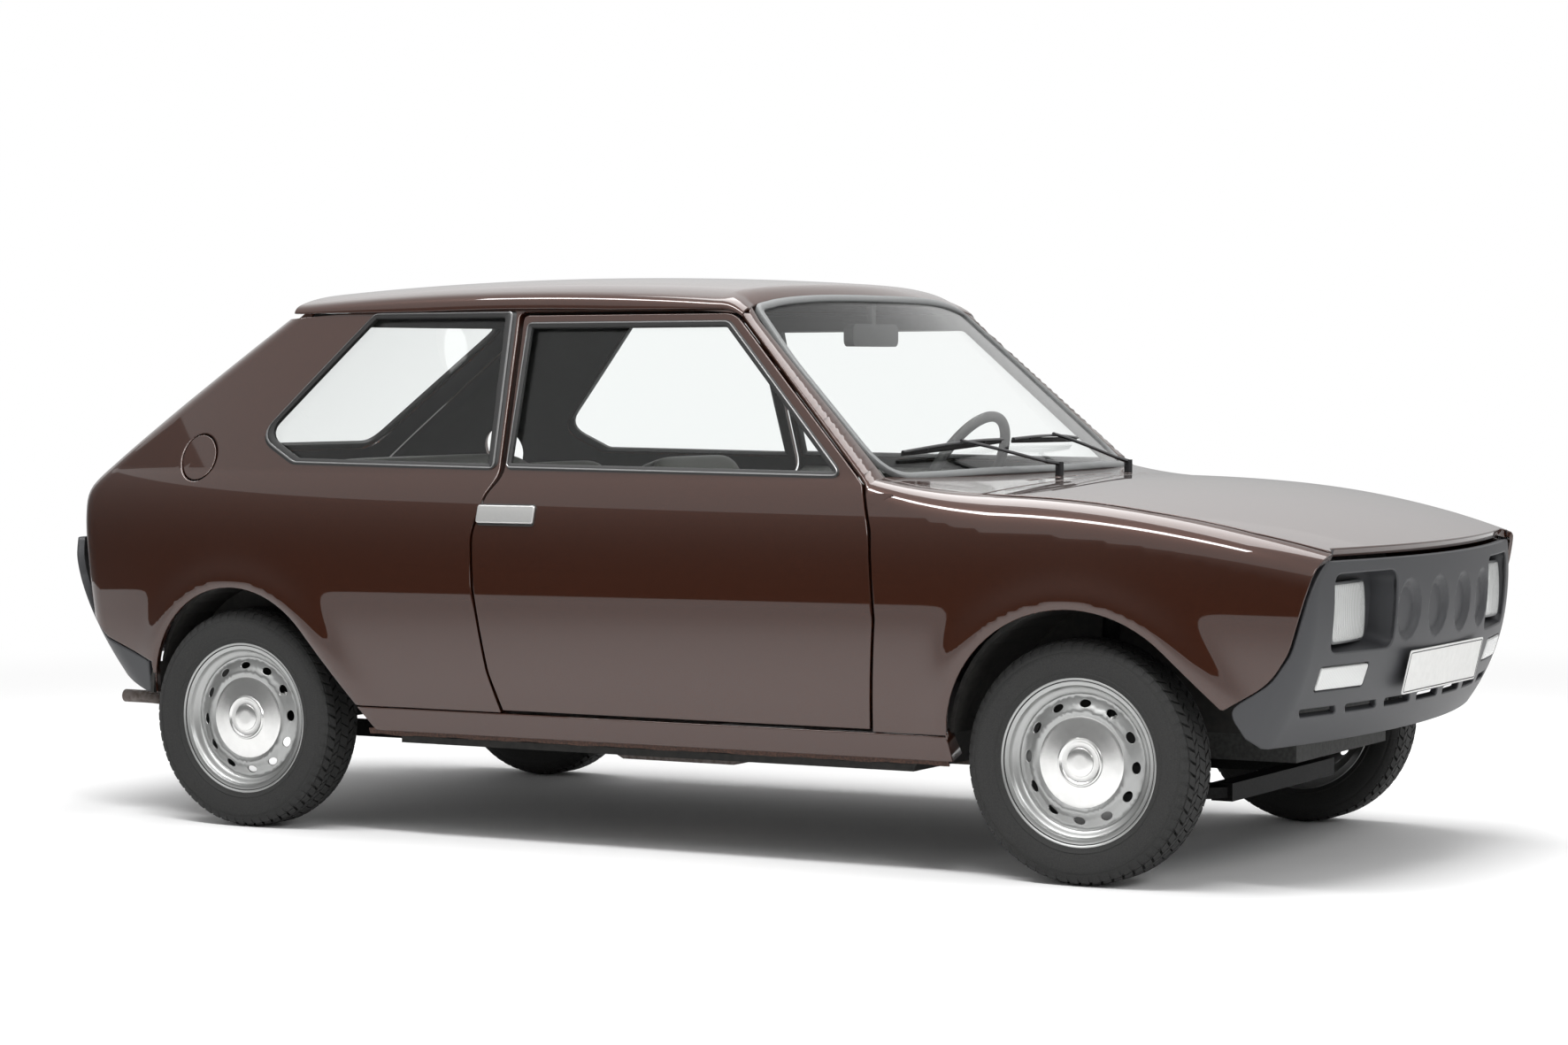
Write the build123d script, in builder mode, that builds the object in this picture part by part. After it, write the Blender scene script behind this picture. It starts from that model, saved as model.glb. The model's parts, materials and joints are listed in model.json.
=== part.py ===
"""Small two-box hatchback with two side doors, a front hood, a sloping tailgate and four road wheels.

Frame: X forward, Y to the left, Z up, millimetres. The origin is on the ground, on the centreline,
half way between the foremost and the rearmost point.
"""

from build123d import *
from math import cos, radians, sin, sqrt
import os

# ---- driving dimensions ------------------------------------------------------------------------
length = 3456
body_width = 1514
height = 1333
wheelbase = 2225
front_overhang = 590
track_front = 1280
track_rear = 1295

tyre_radius = 265
tyre_width = 138
rim_radius = 181
rim_width = 118

belt_height = 870
widest_height = 610
sill_bottom = 252
sill_seam = 311
floor_height = 225
tumblehome = 0.334  # inward run of the glass planes for each unit of height

shut_gap = 6.5
skin = 30
door_thickness = 60
frame_thickness = 20
panel_thickness = 20
glass_thickness = 5
glass_depth = 12

door_front = 470  # door leading edge behind the front axle
door_rear = 706  # door trailing edge ahead of the rear axle

arch_radius_front = 297
arch_radius_rear = 275
arch_lift_front = 298
arch_lift_rear = 308
lip_rise = 8  # how far the rolled wheel arch lips stand out
lip_width = 24

kingpin_inset = 65  # kingpin axis inboard of the wheel's middle plane

# ---- stations worked out from them -------------------------------------------------------------
front_x = length / 2
rear_x = -length / 2
front_axle = front_x - front_overhang
rear_axle = front_axle - wheelbase
half_body = body_width / 2
roof_edge = height - 71
door_front_x = front_axle - door_front
door_rear_x = rear_axle + door_rear
tail_x = rear_x + 34
hood_rear_x = front_axle - 235
roof_rear_x = rear_axle + 75


# ---- body surfaces as formulas -----------------------------------------------------------------
def half_width(x, z):
    """Half width of the body side at a station, from the sill up to the cant rail."""
    if z < widest_height:
        side = half_body - 30 * ((widest_height - z) / 300) ** 2
    else:
        low = min(z, belt_height)
        side = half_body - 45.4 * ((low - widest_height) / (belt_height - widest_height)) ** 2.8
        side -= tumblehome * max(z - belt_height, 0)
    nose = max(x - (front_axle - 500), 0) / 1020
    tail = max((rear_axle + 525) - x, 0) / 1130
    return side - 110 * nose**4 - 120 * tail**3


def hood_height(x, y):
    """Top of the hood, its sides and the cowl."""
    run = x - (front_axle - 155)
    bow = 20.3e-5 if run > 0 else 7.5e-5
    crown = 4.5e-5 + 1.0e-5 * max(x - (front_axle - 500), 0) / 1025
    return belt_height - 14 - 0.03 * run - bow * run**2 - crown * y**2


def roof_top(x, y):
    """Top of the roof panel."""
    across = abs(y) / 590
    return height - 5.9e-5 * (x - (rear_axle + 725)) ** 2 - 28 * across**2 - 23 * across**8


def windscreen_x(y, z):
    """Outer face of the windscreen."""
    return front_axle - 386 - 3.03e-4 * y**2 - 1.149 * (z - (belt_height + 15))


def nose_x(y, z):
    """Front face of the fascia."""
    drop = max(655 - z, 0)
    return front_x - 2e-4 * y**2 - 105 * (drop / 350) ** 2.47


def hatch_x(y, z):
    """Rear face: the sloping tailgate above, rounding into the upright tail."""
    slope = roof_rear_x - (height - 28 - 45 * (y / 560) ** 2 - z) / 0.676
    upright = tail_x + 0.15 * (800 - min(z, 900)) + 1e-4 * y**2
    middle = (slope + upright) / 2
    return middle + sqrt(((slope - upright) / 2) ** 2 + 22**2)


def steps(start, end, count):
    """Evenly spaced values from start to end, both included."""
    return [start + (end - start) * i / (count - 1) for i in range(count)]


def bend(a, corner, b, count):
    """Points of a soft corner from a to b, without a itself."""
    out = []
    for t in steps(0, 1, count)[1:]:
        out.append(tuple((1 - t) ** 2 * p + 2 * t * (1 - t) * c + t**2 * q for p, c, q in zip(a, corner, b)))
    return out


def side_row(x0, x1, z, count):
    """Plan outline of the right body side at one height."""
    return [(x, -half_width(x, z), z) for x in steps(x0, x1, count)]


def rear_row(x0, z, radius=60, beyond=40):
    """Plan outline at one height: along the right side, round the tail corner, across the back."""
    corner_y = -half_width(tail_x, z)
    for _ in range(12):
        corner_x = hatch_x(corner_y, z)
        corner_y = -half_width(corner_x, z)
    x0 = max(x0, corner_x + radius + 120)
    side = side_row(x0, corner_x + radius, z, 12 if x0 > rear_axle + 300 else 5)
    back = [(hatch_x(y, z), y, z) for y in steps(corner_y + radius, beyond, 6)]
    return side + bend(side[-1], (corner_x, corner_y, z), back[0], 4) + back[1:]


def shoulder_row(x, beyond=40):
    """Section of the front wing at one station: up the side, over the shoulder, across the hood."""
    radius = 30 + 45 * min(max((x - (front_axle - 500)) / 300, 0), 1)
    corner_z = belt_height - 20
    for _ in range(12):
        corner_y = -half_width(x, corner_z)
        corner_z = hood_height(x, corner_y)
    side = [(x, -half_width(x, z), z) for z in steps(sill_bottom - 60, corner_z - radius, 8)]
    top = [(x, y, hood_height(x, y)) for y in steps(corner_y + radius, beyond, 6)]
    return side + bend(side[-1], (x, corner_y, corner_z), top[0], 4) + top[1:]


def nose_row(x0, z, radius=38, beyond=40):
    """Plan outline of the fascia at one height: along the right side, round the corner, across the front."""
    tuck = 45 * (min(max(z - 600, 0), 112) / 112) ** 3
    corner_y = -half_width(front_x - 90, z) + tuck
    for _ in range(12):
        corner_x = nose_x(corner_y, z)
        corner_y = -half_width(corner_x, z) + tuck
    side = [(x, -half_width(x, z) + tuck, z) for x in steps(x0, corner_x - radius, 4)]
    front = [(nose_x(y, z), y, z) for y in steps(corner_y + radius, beyond, 6)]
    return side + bend(side[-1], (corner_x, corner_y, z), front[0], 4) + front[1:]


def moved_row(row, distance, axis):
    """A row of points, each moved square to the row within its own plane."""
    i, j = [k for k in range(3) if k != axis]
    out = []
    for n, point in enumerate(row):
        before = row[max(n - 1, 0)]
        after = row[min(n + 1, len(row) - 1)]
        run = sqrt((after[i] - before[i]) ** 2 + (after[j] - before[j]) ** 2)
        moved = list(point)
        moved[i] -= distance * (after[j] - before[j]) / run
        moved[j] += distance * (after[i] - before[i]) / run
        out.append(tuple(moved))
    return out


def band(row, thickness, axis, depth=0):
    """Face of one section of a wall: a row of points, and the same row moved in by the thickness."""
    turn = 1 if thickness > 0 else -1
    if depth:
        row = moved_row(row, turn * depth, axis)
    inner = moved_row(row, thickness, axis)
    outer_edge = Edge.make_spline(row)
    inner_edge = Edge.make_spline(inner)
    ends = [Edge.make_line(row[0], inner[0]), Edge.make_line(row[-1], inner[-1])]
    return Face(Wire([outer_edge, ends[1], inner_edge, ends[0]]))


def side_block(points, inner=0, outer=900):
    """Solid of a side-view outline between two distances to the right of the centreline."""
    with BuildPart(mode=Mode.PRIVATE) as block:
        with BuildSketch(Plane.XZ.offset(inner)):
            with BuildLine():
                Polyline(*points, close=True)
            make_face()
        extrude(amount=outer - inner)
    return block.part


def both_sides(x0, x1, near, far, z0, z1):
    """Two boxes, the same distance to the right and to the left of the centreline."""
    return [box_block(x0, x1, -far, -near, z0, z1), box_block(x0, x1, near, far, z0, z1)]


def front_block(points, x0, x1):
    """Solid of a front-view outline, given as (y, z), between two stations."""
    with BuildPart(mode=Mode.PRIVATE) as block:
        with BuildSketch(Plane.YZ.offset(x0)):
            with BuildLine():
                Polyline(*points, close=True)
            make_face()
        extrude(amount=x1 - x0)
    return block.part


def box_block(x0, x1, y0, y1, z0, z1):
    """Plain block between two corners."""
    with BuildPart(mode=Mode.PRIVATE) as block:
        with Locations(((x0 + x1) / 2, (y0 + y1) / 2, (z0 + z1) / 2)):
            Box(x1 - x0, y1 - y0, z1 - z0)
    return block.part


def wheel_well(axle, lift, radius, lead_angle, grow=0):
    """Side-view outline of a wheel opening, open at the bottom."""
    reach = radius + grow
    points = [(axle - reach, sill_bottom - 120), (axle - reach, lift)]
    for angle in steps(180, lead_angle, 16)[1:]:
        points.append((axle + reach * cos(radians(angle)), lift + reach * sin(radians(angle))))
    leg = (lift + reach * sin(radians(lead_angle)) - sill_bottom + 120) / cos(radians(lead_angle))
    points.append((points[-1][0] + leg * sin(radians(lead_angle)), sill_bottom - 120))
    return points


front_well = wheel_well(front_axle, arch_lift_front, arch_radius_front, 45)
rear_well = wheel_well(rear_axle, arch_lift_rear, arch_radius_rear, 40)
front_lip_zone = wheel_well(front_axle, arch_lift_front, arch_radius_front, 45, lip_width)
rear_lip_zone = wheel_well(rear_axle, arch_lift_rear, arch_radius_rear, 40, lip_width)

# ---- door outline in side view ------------------------------------------------------------------
door_low = sill_seam + shut_gap
door_top = roof_edge - 26
pillar_lean = 1.04  # run of the windscreen pillar for each unit of height


def door_front_edge(z, back=0):
    """Leading edge of the door above the belt, where it follows the windscreen pillar."""
    return door_front_x - 40 - back - pillar_lean * (z - 856)


def door_outline(grow=0):
    """Whole door, grown all round by a clearance."""
    g = grow
    return [
        (door_front_x - 16 + g, door_low - g),
        (door_front_x + 4 + g, 562),
        (door_front_x - 10 + g, 755),
        (door_front_x - 40 + g, 856),
        (door_front_edge(door_top, -1.4 * g), door_top + g),
        (door_rear_x + 42 - 1.8 * g, door_top + g),
        (door_rear_x + 64 - 1.8 * g, belt_height - 6),
        (door_rear_x + 27 - g, 817),
        (door_rear_x - g, 725),
        (door_rear_x + 5 - g, 602),
        (door_rear_x + 37 - g, 407),
        (door_rear_x + 68 - g, door_low - g),
    ]


def window_outline(grow=0):
    """Glass opening of the door."""
    low = belt_height + 12 - grow
    high = door_top - 22 + grow
    return [
        (door_front_edge(low - 10, 38 - 1.4 * grow), low - 10),
        (door_front_edge(high, 34 - 1.4 * grow), high),
        (door_rear_x + 62 - grow, high),
        (door_rear_x + 72 - grow, low),
    ]


def quarter_outline(grow=0):
    """Glass opening of the rear quarter."""
    g = grow
    return [
        (door_rear_x + 34 + g, belt_height + 10 - g),
        (door_rear_x + 10 + g, door_top + 4 + g),
        (rear_axle + 323 - 0.6 * g, door_top + 4 + g),
        (rear_axle + 42 - 1.2 * g, belt_height + 78),
        (rear_axle + 160 - 0.5 * g, belt_height + 18 - g),
    ]


def write(builder, name):
    """Label a finished piece and write it out."""
    builder.part.label = name
    export_step(builder.part, "parts/" + name + ".step")


os.makedirs("parts", exist_ok=True)


def write_pair(right, name):
    """Write a right-hand piece and its mirror image on the left."""
    write(right, name + "_right")
    with BuildPart() as left:
        mirror(right.part, about=Plane.XZ)
    write(left, name + "_left")


# ---- windscreen ----------------------------------------------------------------------------------
def windscreen_band(depth, back):
    """Slab that follows the windscreen's outer face, from its face back to a depth."""
    sections = []
    for z in steps(belt_height - 60, height + 20, 8):
        row = [(windscreen_x(y, z) - back, y, z) for y in steps(720, -720, 9)]
        sections.append(band(row, -depth, 2))
    with BuildPart(mode=Mode.PRIVATE) as slab:
        loft(sections=sections)
    return slab.part


glass_low = belt_height - 2
glass_high = height - 54


def windscreen_frame(grow):
    """Front-view outline of the windscreen."""
    return [
        (-633 - grow, glass_low - 14 - grow),
        (-300, glass_low - 4 - grow),
        (300, glass_low - 4 - grow),
        (633 + grow, glass_low - 14 - grow),
        (533 + grow, glass_high - 27 + grow),
        (250, glass_high + grow),
        (-250, glass_high + grow),
        (-533 - grow, glass_high - 27 + grow),
    ]


screen_rebate = windscreen_band(14, 0)
with BuildPart() as windscreen:
    add(windscreen_band(glass_thickness, 2))
    add(front_block(windscreen_frame(-3), front_axle - 1000, front_axle), mode=Mode.INTERSECT)
write(windscreen, "windscreen")

with BuildPart() as screen_seat:
    add(screen_rebate)
    add(front_block(windscreen_frame(3), front_axle - 1000, front_axle), mode=Mode.INTERSECT)
screen_opening = front_block(windscreen_frame(3), front_axle - 1000, front_axle)


def screen_edge(z):
    """Side edge of the windscreen in side view, where the pillar's front face starts."""
    share = (z - glass_low) / (glass_high - glass_low)
    return windscreen_x(633 - 106 * share, z)


behind_screen = windscreen_band(600, 20)

# ---- doors ----------------------------------------------------------------------------------------
door_levels = steps(door_low - 40, roof_edge + 30, 12)


def door_skin(thickness, depth=0):
    """Slab under the door's outer face."""
    sections = []
    for z in door_levels:
        row = side_row(door_rear_x - 90, door_front_x + 60, z, 7)
        row = [(x, y + depth, z) for x, y, z in row]
        sections.append(band(row, thickness, 2))
    with BuildPart(mode=Mode.PRIVATE) as slab:
        loft(sections=sections)
    return slab.part


with BuildPart() as door_frame:
    add(door_skin(frame_thickness))
    add(side_block(door_outline()), mode=Mode.INTERSECT)
    add(side_block(window_outline()), mode=Mode.SUBTRACT)
below_belt = box_block(rear_x, front_x, -900, 900, 0, belt_height - 6)
with BuildPart() as door_lower:
    add(door_skin(door_thickness))
    add(side_block(door_outline()), mode=Mode.INTERSECT)
    add(below_belt, mode=Mode.INTERSECT)
with BuildPart() as door_right:
    add(door_frame.part)
    add(door_lower.part)
write_pair(door_right, "door")
with BuildPart() as door_glass_right:
    add(door_skin(glass_thickness, glass_depth))
    add(side_block(window_outline()), mode=Mode.INTERSECT)
write_pair(door_glass_right, "door_glass")

# ---- body side: quarter panel, rear corner, pillars and cant rail ---------------------------------
side_levels = steps(sill_bottom - 50, roof_edge + 40, 14)
flange_depth = frame_thickness + 6
flange_thickness = 26


def body_skin(start_x, thickness, depth=0):
    """Slab under the outer face of the body side, round the tail corner and across the back."""
    sections = []
    for z in side_levels:
        sections.append(band(rear_row(start_x, z), -thickness, 2, depth))
    with BuildPart(mode=Mode.PRIVATE) as slab:
        loft(sections=sections)
    return slab.part


tailgate_low = 818
tailgate_corner = 860
bumper_seam = [
    (rear_x - 200, 596),
    (rear_axle - 562, 596),
    (rear_axle - 498, 488),
    (rear_axle - 445, 446),
    (rear_axle - 281, 392),
    (rear_axle - 200, 380),
    (rear_axle - 200, 0),
    (rear_x - 200, 0),
]
pillar_foot = (screen_edge(glass_low - 20), glass_low - 20)
pillar_head = (screen_edge(roof_edge - 6), roof_edge - 6)
side_outer = [(rear_x - 100, 0)]
for x in steps(rear_x - 100, pillar_head[0], 9):
    side_outer.append((x, roof_top(x, 590) - panel_thickness - 14))
side_outer += [
    pillar_foot,
    (door_front_x + 10, 790),
    (door_front_x - 150, 790),
    (door_rear_x - 40, sill_seam + 1),
    (rear_axle + 300, sill_seam + 1),
    (rear_axle, sill_seam + 1),
    (rear_axle, 0),
]


def tailgate_frame(grow):
    """Rear-view outline of the tailgate."""
    return [
        (-560 - grow, tailgate_low - grow),
        (560 + grow, tailgate_low - grow),
        (575 + grow, tailgate_corner),
        (505 + grow, roof_edge - 40),
        (505 + grow, height + 60),
        (-505 - grow, height + 60),
        (-505 - grow, roof_edge - 40),
        (-575 - grow, tailgate_corner),
    ]


full_skin = body_skin(door_front_x + 30, skin)
with BuildPart() as rear_lip:
    add(body_skin(rear_axle + 500, skin + lip_rise, -lip_rise))
    add(side_block(rear_lip_zone), mode=Mode.INTERSECT)
tail_part = body_skin(rear_axle - 260, skin)
right_half = box_block(rear_x - 50, front_x + 50, -900, 0, 0, height + 60)

rear_panel_low = 560
rear_panel_zone = box_block(rear_x - 50, rear_x + 200, -560, 560, rear_panel_low, tailgate_low)
below_panel = box_block(rear_x - 50, rear_x + 200, -560, 560, 0, rear_panel_low + 1)

flap_x = rear_axle - 148
flap_z = 896
flap_radius = 54


def flap_slab(thickness, depth=0):
    """Slab under the skin around the fuel flap."""
    sections = []
    for z in steps(flap_z - 75, flap_z + 75, 7):
        row = side_row(flap_x - 80, flap_x + 80, z, 7)
        sections.append(band([(x, y - depth, z) for x, y, z in row], thickness + depth, 2))
    with BuildPart(mode=Mode.PRIVATE) as slab:
        loft(sections=sections)
    return slab.part


def flap_disc(radius):
    """Cylinder across the skin at the fuel flap."""
    with BuildPart(mode=Mode.PRIVATE) as disc:
        with BuildSketch(Plane.XZ.offset(500)):
            with Locations((flap_x, flap_z)):
                Circle(radius)
        extrude(amount=400)
    return disc.part


with BuildPart(mode=Mode.PRIVATE) as recess:
    add(flap_slab(22, 40))
    add(flap_disc(flap_radius + 5.5), mode=Mode.INTERSECT)
flap_recess = recess.part
with BuildPart() as fuel_flap:
    add(flap_slab(5))
    add(flap_disc(flap_radius), mode=Mode.INTERSECT)
write(fuel_flap, "fuel_flap")

with BuildPart() as gate_cut:
    add(front_block(tailgate_frame(shut_gap), rear_x - 50, roof_rear_x + 160))

flange_side = [(roof_rear_x - 60, belt_height + 4)]
for x in steps(roof_rear_x - 60, pillar_head[0], 9):
    flange_side.append((x, roof_top(x, 590) - panel_thickness - 3))
flange_side += [(pillar_foot[0] - 25, belt_height + 4)]
with BuildPart() as flange_ring:
    add(body_skin(door_front_x + 30, flange_thickness, flange_depth))
    add(right_half, mode=Mode.INTERSECT)
    add(side_block(flange_side), mode=Mode.INTERSECT)
    add(side_block(door_outline(-20)), mode=Mode.SUBTRACT)
    add(side_block(quarter_outline(8)), mode=Mode.SUBTRACT)
    add(gate_cut.part, mode=Mode.SUBTRACT)
    add(screen_opening, mode=Mode.SUBTRACT)

with BuildPart() as outer_ring:
    add(full_skin)
    add(rear_lip.part)
    add(right_half, mode=Mode.INTERSECT)
    add(side_block(side_outer), mode=Mode.INTERSECT)
    add(side_block(door_outline(shut_gap)), mode=Mode.SUBTRACT)
    add(side_block(quarter_outline()), mode=Mode.SUBTRACT)
    add(side_block(rear_well), mode=Mode.SUBTRACT)
    add(side_block(bumper_seam), mode=Mode.SUBTRACT)
    add(gate_cut.part, mode=Mode.SUBTRACT)
    add(rear_panel_zone, mode=Mode.SUBTRACT)
    add(below_panel, mode=Mode.SUBTRACT)
    add(flap_recess, mode=Mode.SUBTRACT)
    add(flange_ring.part)
write(outer_ring, "body_side_right")

# ---- roof -------------------------------------------------------------------------------------------
roof_sections = []
for x in steps(front_axle - 640, roof_rear_x - 60, 8):
    row = [(x, y, roof_top(x, y)) for y in steps(-592, 592, 15)]
    roof_sections.append(band(row, -panel_thickness, 0))
roof_plan = [(roof_rear_x, 900), (roof_rear_x, -900)]
for y in steps(-600, 600, 17):
    roof_plan.append((windscreen_x(y, glass_high + 18), y))
with BuildPart() as roof_footprint:
    with BuildSketch():
        with BuildLine():
            Polyline(*roof_plan, close=True)
        make_face()
    extrude(amount=2 * height)
with BuildPart() as roof:
    loft(sections=roof_sections)
    add(roof_footprint.part, mode=Mode.INTERSECT)
write(roof, "roof")

# ---- front wing -----------------------------------------------------------------------------------
wing_sections = []
for x in steps(door_front_x - 60, front_x - 20, 12):
    wing_sections.append(band(shoulder_row(x), -panel_thickness, 0))
with BuildPart() as shoulder:
    loft(sections=wing_sections)
with BuildPart() as front_lip:
    add(side_block(front_lip_zone, half_body - 42, half_body + lip_rise))
    add(box_block(front_axle - 400, front_axle + 160, -900, 0, sill_seam + 140, height), mode=Mode.INTERSECT)
hood_edge = [
    (front_axle - 700, 640),
    (front_axle - 155, 676),
    (front_axle + 157, 664),
    (front_axle + 385, 628),
    (front_x - 20, 570),
    (front_x + 50, 560),
]


def hood_half(x):
    """Half width of the hood opening at a station."""
    for (x0, y0), (x1, y1) in zip(hood_edge, hood_edge[1:]):
        if x <= x1:
            break
    return y0 + (y1 - y0) * (x - x0) / (x1 - x0)


hood_line = [(hood_edge[0][0], -900)]
hood_line += [(x, -y) for x, y in hood_edge]
hood_line += [(hood_edge[-1][0], -900)]
fascia_seam = [
    (front_axle + 545, 900),
    (front_axle + 530, 720),
    (front_axle + 500, 624),
    (front_axle + 469, 513),
    (front_axle + 430, 448),
    (front_axle + 337, 391),
    (front_axle + 250, 340),
    (front_axle + 250, 0),
    (front_x + 100, 0),
    (front_x + 100, 900),
]
with BuildPart() as plan_wing:
    with BuildSketch():
        with BuildLine():
            Polyline(*hood_line, close=True)
        make_face()
    extrude(amount=1500)
wing_side_view = [
    (door_front_x - 10, sill_seam + 1),
    (door_front_x + 11, 562),
    (door_front_x + 1, 755),
    (door_front_x - 28, 856),
    (door_front_x - 28, 1000),
    (front_x + 50, 1000),
    (front_x + 50, sill_seam + 1),
]
with BuildPart() as fender_right:
    add(shoulder.part)
    add(front_lip.part)
    add(plan_wing.part, mode=Mode.INTERSECT)
    add(side_block(wing_side_view), mode=Mode.INTERSECT)
    add(side_block(front_well), mode=Mode.SUBTRACT)
    add(side_block(fascia_seam), mode=Mode.SUBTRACT)
    add(screen_seat.part, mode=Mode.SUBTRACT)
    add(outer_ring.part, mode=Mode.SUBTRACT)
write_pair(fender_right, "front_fender")

# ---- hood and cowl ----------------------------------------------------------------------------------
hood_sections = []
for x in steps(front_axle - 520, front_x - 4, 8):
    row = [(x, y, hood_height(x, y)) for y in steps(-700, 700, 9)]
    hood_sections.append(band(row, -panel_thickness, 0))
with BuildPart() as hood_sheet:
    loft(sections=hood_sections)


def hood_plan(shrink):
    """Plan outline of the opening that the hood fills, less a clearance."""
    stations = [hood_rear_x] + [x for x, _ in hood_edge[1:4]] + [front_x - 60]
    side = [(x, hood_half(x)) for x in stations]
    right = [(x, -y + shrink) for x, y in side]
    left = [(x, y - shrink) for x, y in reversed(side)]
    tip = [(nose_x(y, 655) - 14, y) for y in steps(-560 + shrink, 560 - shrink, 9)]
    return right + tip + left


with BuildPart() as hood:
    with BuildSketch():
        with BuildLine():
            Polyline(*hood_plan(shut_gap), close=True)
        make_face()
    extrude(amount=1500)
    add(hood_sheet.part, mode=Mode.INTERSECT)
write(hood, "hood")

with BuildPart() as cowl_sheet:
    add(hood_sheet.part)
    add(box_block(front_axle - 480, hood_rear_x - shut_gap, -674, 674, 0, 1500), mode=Mode.INTERSECT)
    add(behind_screen, mode=Mode.SUBTRACT)
    add(screen_seat.part, mode=Mode.SUBTRACT)
    for piece in (fender_right.part, outer_ring.part):
        add(piece, mode=Mode.SUBTRACT)
        add(mirror(piece, about=Plane.XZ, mode=Mode.PRIVATE), mode=Mode.SUBTRACT)
with BuildPart() as cowl:
    add(cowl_sheet.part.solids().sort_by(SortBy.VOLUME)[-1])
write(cowl, "cowl")
with BuildPart() as body_side_left:
    mirror(outer_ring.part, about=Plane.XZ)
write(body_side_left, "body_side_left")

# ---- front fascia -----------------------------------------------------------------------------------
fascia_bottom = 305
fascia_wall = 22
fascia_front_view = [(-900, fascia_bottom), (0, fascia_bottom)]
for y in steps(0, -600, 10):
    fascia_front_view.append((y, hood_height(nose_x(y, 655), y) - panel_thickness - shut_gap))
fascia_front_view.append((-900, fascia_front_view[-1][1]))
fascia_side_view = [
    (front_axle + 342, 385),
    (front_axle + 372, 331),
    (front_axle + 400, fascia_bottom),
    (front_x + 50, fascia_bottom),
    (front_x + 50, 900),
]
fascia_side_view += [(x + 1, z) for x, z in fascia_seam[:6]]
fascia_rows = [nose_row(front_axle + 200, z) for z in steps(fascia_bottom - 20, 800, 10)]
with BuildPart() as fascia_half:
    loft(sections=[band(row, fascia_wall, 2) for row in fascia_rows])
    add(front_block(fascia_front_view, front_axle, front_x + 50), mode=Mode.INTERSECT)
    add(side_block(fascia_side_view), mode=Mode.INTERSECT)
with BuildPart() as front_fascia:
    add(fascia_half.part)
    mirror(fascia_half.part, about=Plane.XZ)
    add(both_sides(front_x - 200, front_x, 340, 552, 517, 663), mode=Mode.SUBTRACT)
    add(both_sides(front_x - 200, front_x, 390, 575, 428, 478), mode=Mode.SUBTRACT)
write(front_fascia, "front_fascia")
with BuildPart() as indicators:
    add(fascia_half.part)
    mirror(fascia_half.part, about=Plane.XZ)
    add(both_sides(front_x - 200, front_x, 392, 573, 430, 476), mode=Mode.INTERSECT)
write(indicators, "indicators")

# ---- tail: rear panel, bumper and tailgate -------------------------------------------------------------
with BuildPart() as tail_skin:
    add(tail_part)
    add(right_half, mode=Mode.INTERSECT)
with BuildPart() as tail_full:
    add(tail_skin.part)
    mirror(tail_skin.part, about=Plane.XZ)
with BuildPart() as tailgate_shell:
    add(tail_full.part)
    add(front_block(tailgate_frame(0), rear_x - 50, roof_rear_x - shut_gap), mode=Mode.INTERSECT)
rear_window = [(-470, 905), (470, 905), (430, height - 100), (-430, height - 100)]
with BuildPart() as tailgate:
    add(tailgate_shell.part)
    add(front_block(rear_window, rear_x - 50, roof_rear_x + 50), mode=Mode.SUBTRACT)
write(tailgate, "tailgate")

with BuildPart() as rear_panel:
    add(tail_full.part)
    add(rear_panel_zone, mode=Mode.INTERSECT)
    add(both_sides(rear_x - 50, rear_x + 200, 400, 545, 706, 786), mode=Mode.SUBTRACT)
write(rear_panel, "rear_panel")
with BuildPart() as tail_lights:
    add(tail_full.part)
    add(both_sides(rear_x - 50, rear_x + 200, 402, 543, 708, 784), mode=Mode.INTERSECT)
write(tail_lights, "tail_lights")
with BuildPart() as tailgate_glass:
    add(tail_full.part)
    add(front_block(rear_window, rear_x - 50, roof_rear_x + 50), mode=Mode.INTERSECT)
write(tailgate_glass, "tailgate_glass")


def bumper_row(z):
    """Plan outline of the rear bumper at one height."""
    radius = 70
    back_x = rear_x + 145 * (max(650 - z, 0) / 264) ** 1.5
    corner_y = -half_width(back_x + 40, z)
    corner_x = back_x + 1.2e-4 * corner_y**2
    side = side_row(rear_axle - 180, corner_x + radius, z, 5)
    back = [(back_x + 1.2e-4 * y**2, y, z) for y in steps(corner_y + radius, 40, 6)]
    return side + bend(side[-1], (corner_x, corner_y, z), back[0], 4) + back[1:]


bumper_side = [
    (rear_x - 50, 692),
    (rear_axle - 600, 692),
    (rear_axle - 564, 596),
    (rear_axle - 500, 486),
    (rear_axle - 446, 444),
    (rear_axle - 296, 395),
    (rear_axle - 296, 318),
    (rear_axle - 310, 313),
    (rear_axle - 496, 386),
    (rear_x - 50, 392),
]
with BuildPart() as bumper_half:
    loft(sections=[band(bumper_row(z), -22, 2) for z in steps(300, 692, 8)])
    add(side_block(bumper_side), mode=Mode.INTERSECT)
    add(outer_ring.part, mode=Mode.SUBTRACT)
    add(rear_panel.part, mode=Mode.SUBTRACT)
with BuildPart() as rear_bumper:
    add(bumper_half.part.solids().sort_by(SortBy.VOLUME)[-1])
    mirror(bumper_half.part.solids().sort_by(SortBy.VOLUME)[-1], about=Plane.XZ)
write(rear_bumper, "rear_bumper")

# ---- quarter glass ----------------------------------------------------------------------------------
glass_skin = body_skin(door_rear_x + 100, glass_thickness, glass_depth)
with BuildPart() as quarter_pane:
    add(glass_skin)
    add(side_block(quarter_outline()), mode=Mode.INTERSECT)
with BuildPart() as quarter_glass:
    add(quarter_pane.part)
    mirror(quarter_pane.part, about=Plane.XZ)
write(quarter_glass, "quarter_glass")

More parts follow.
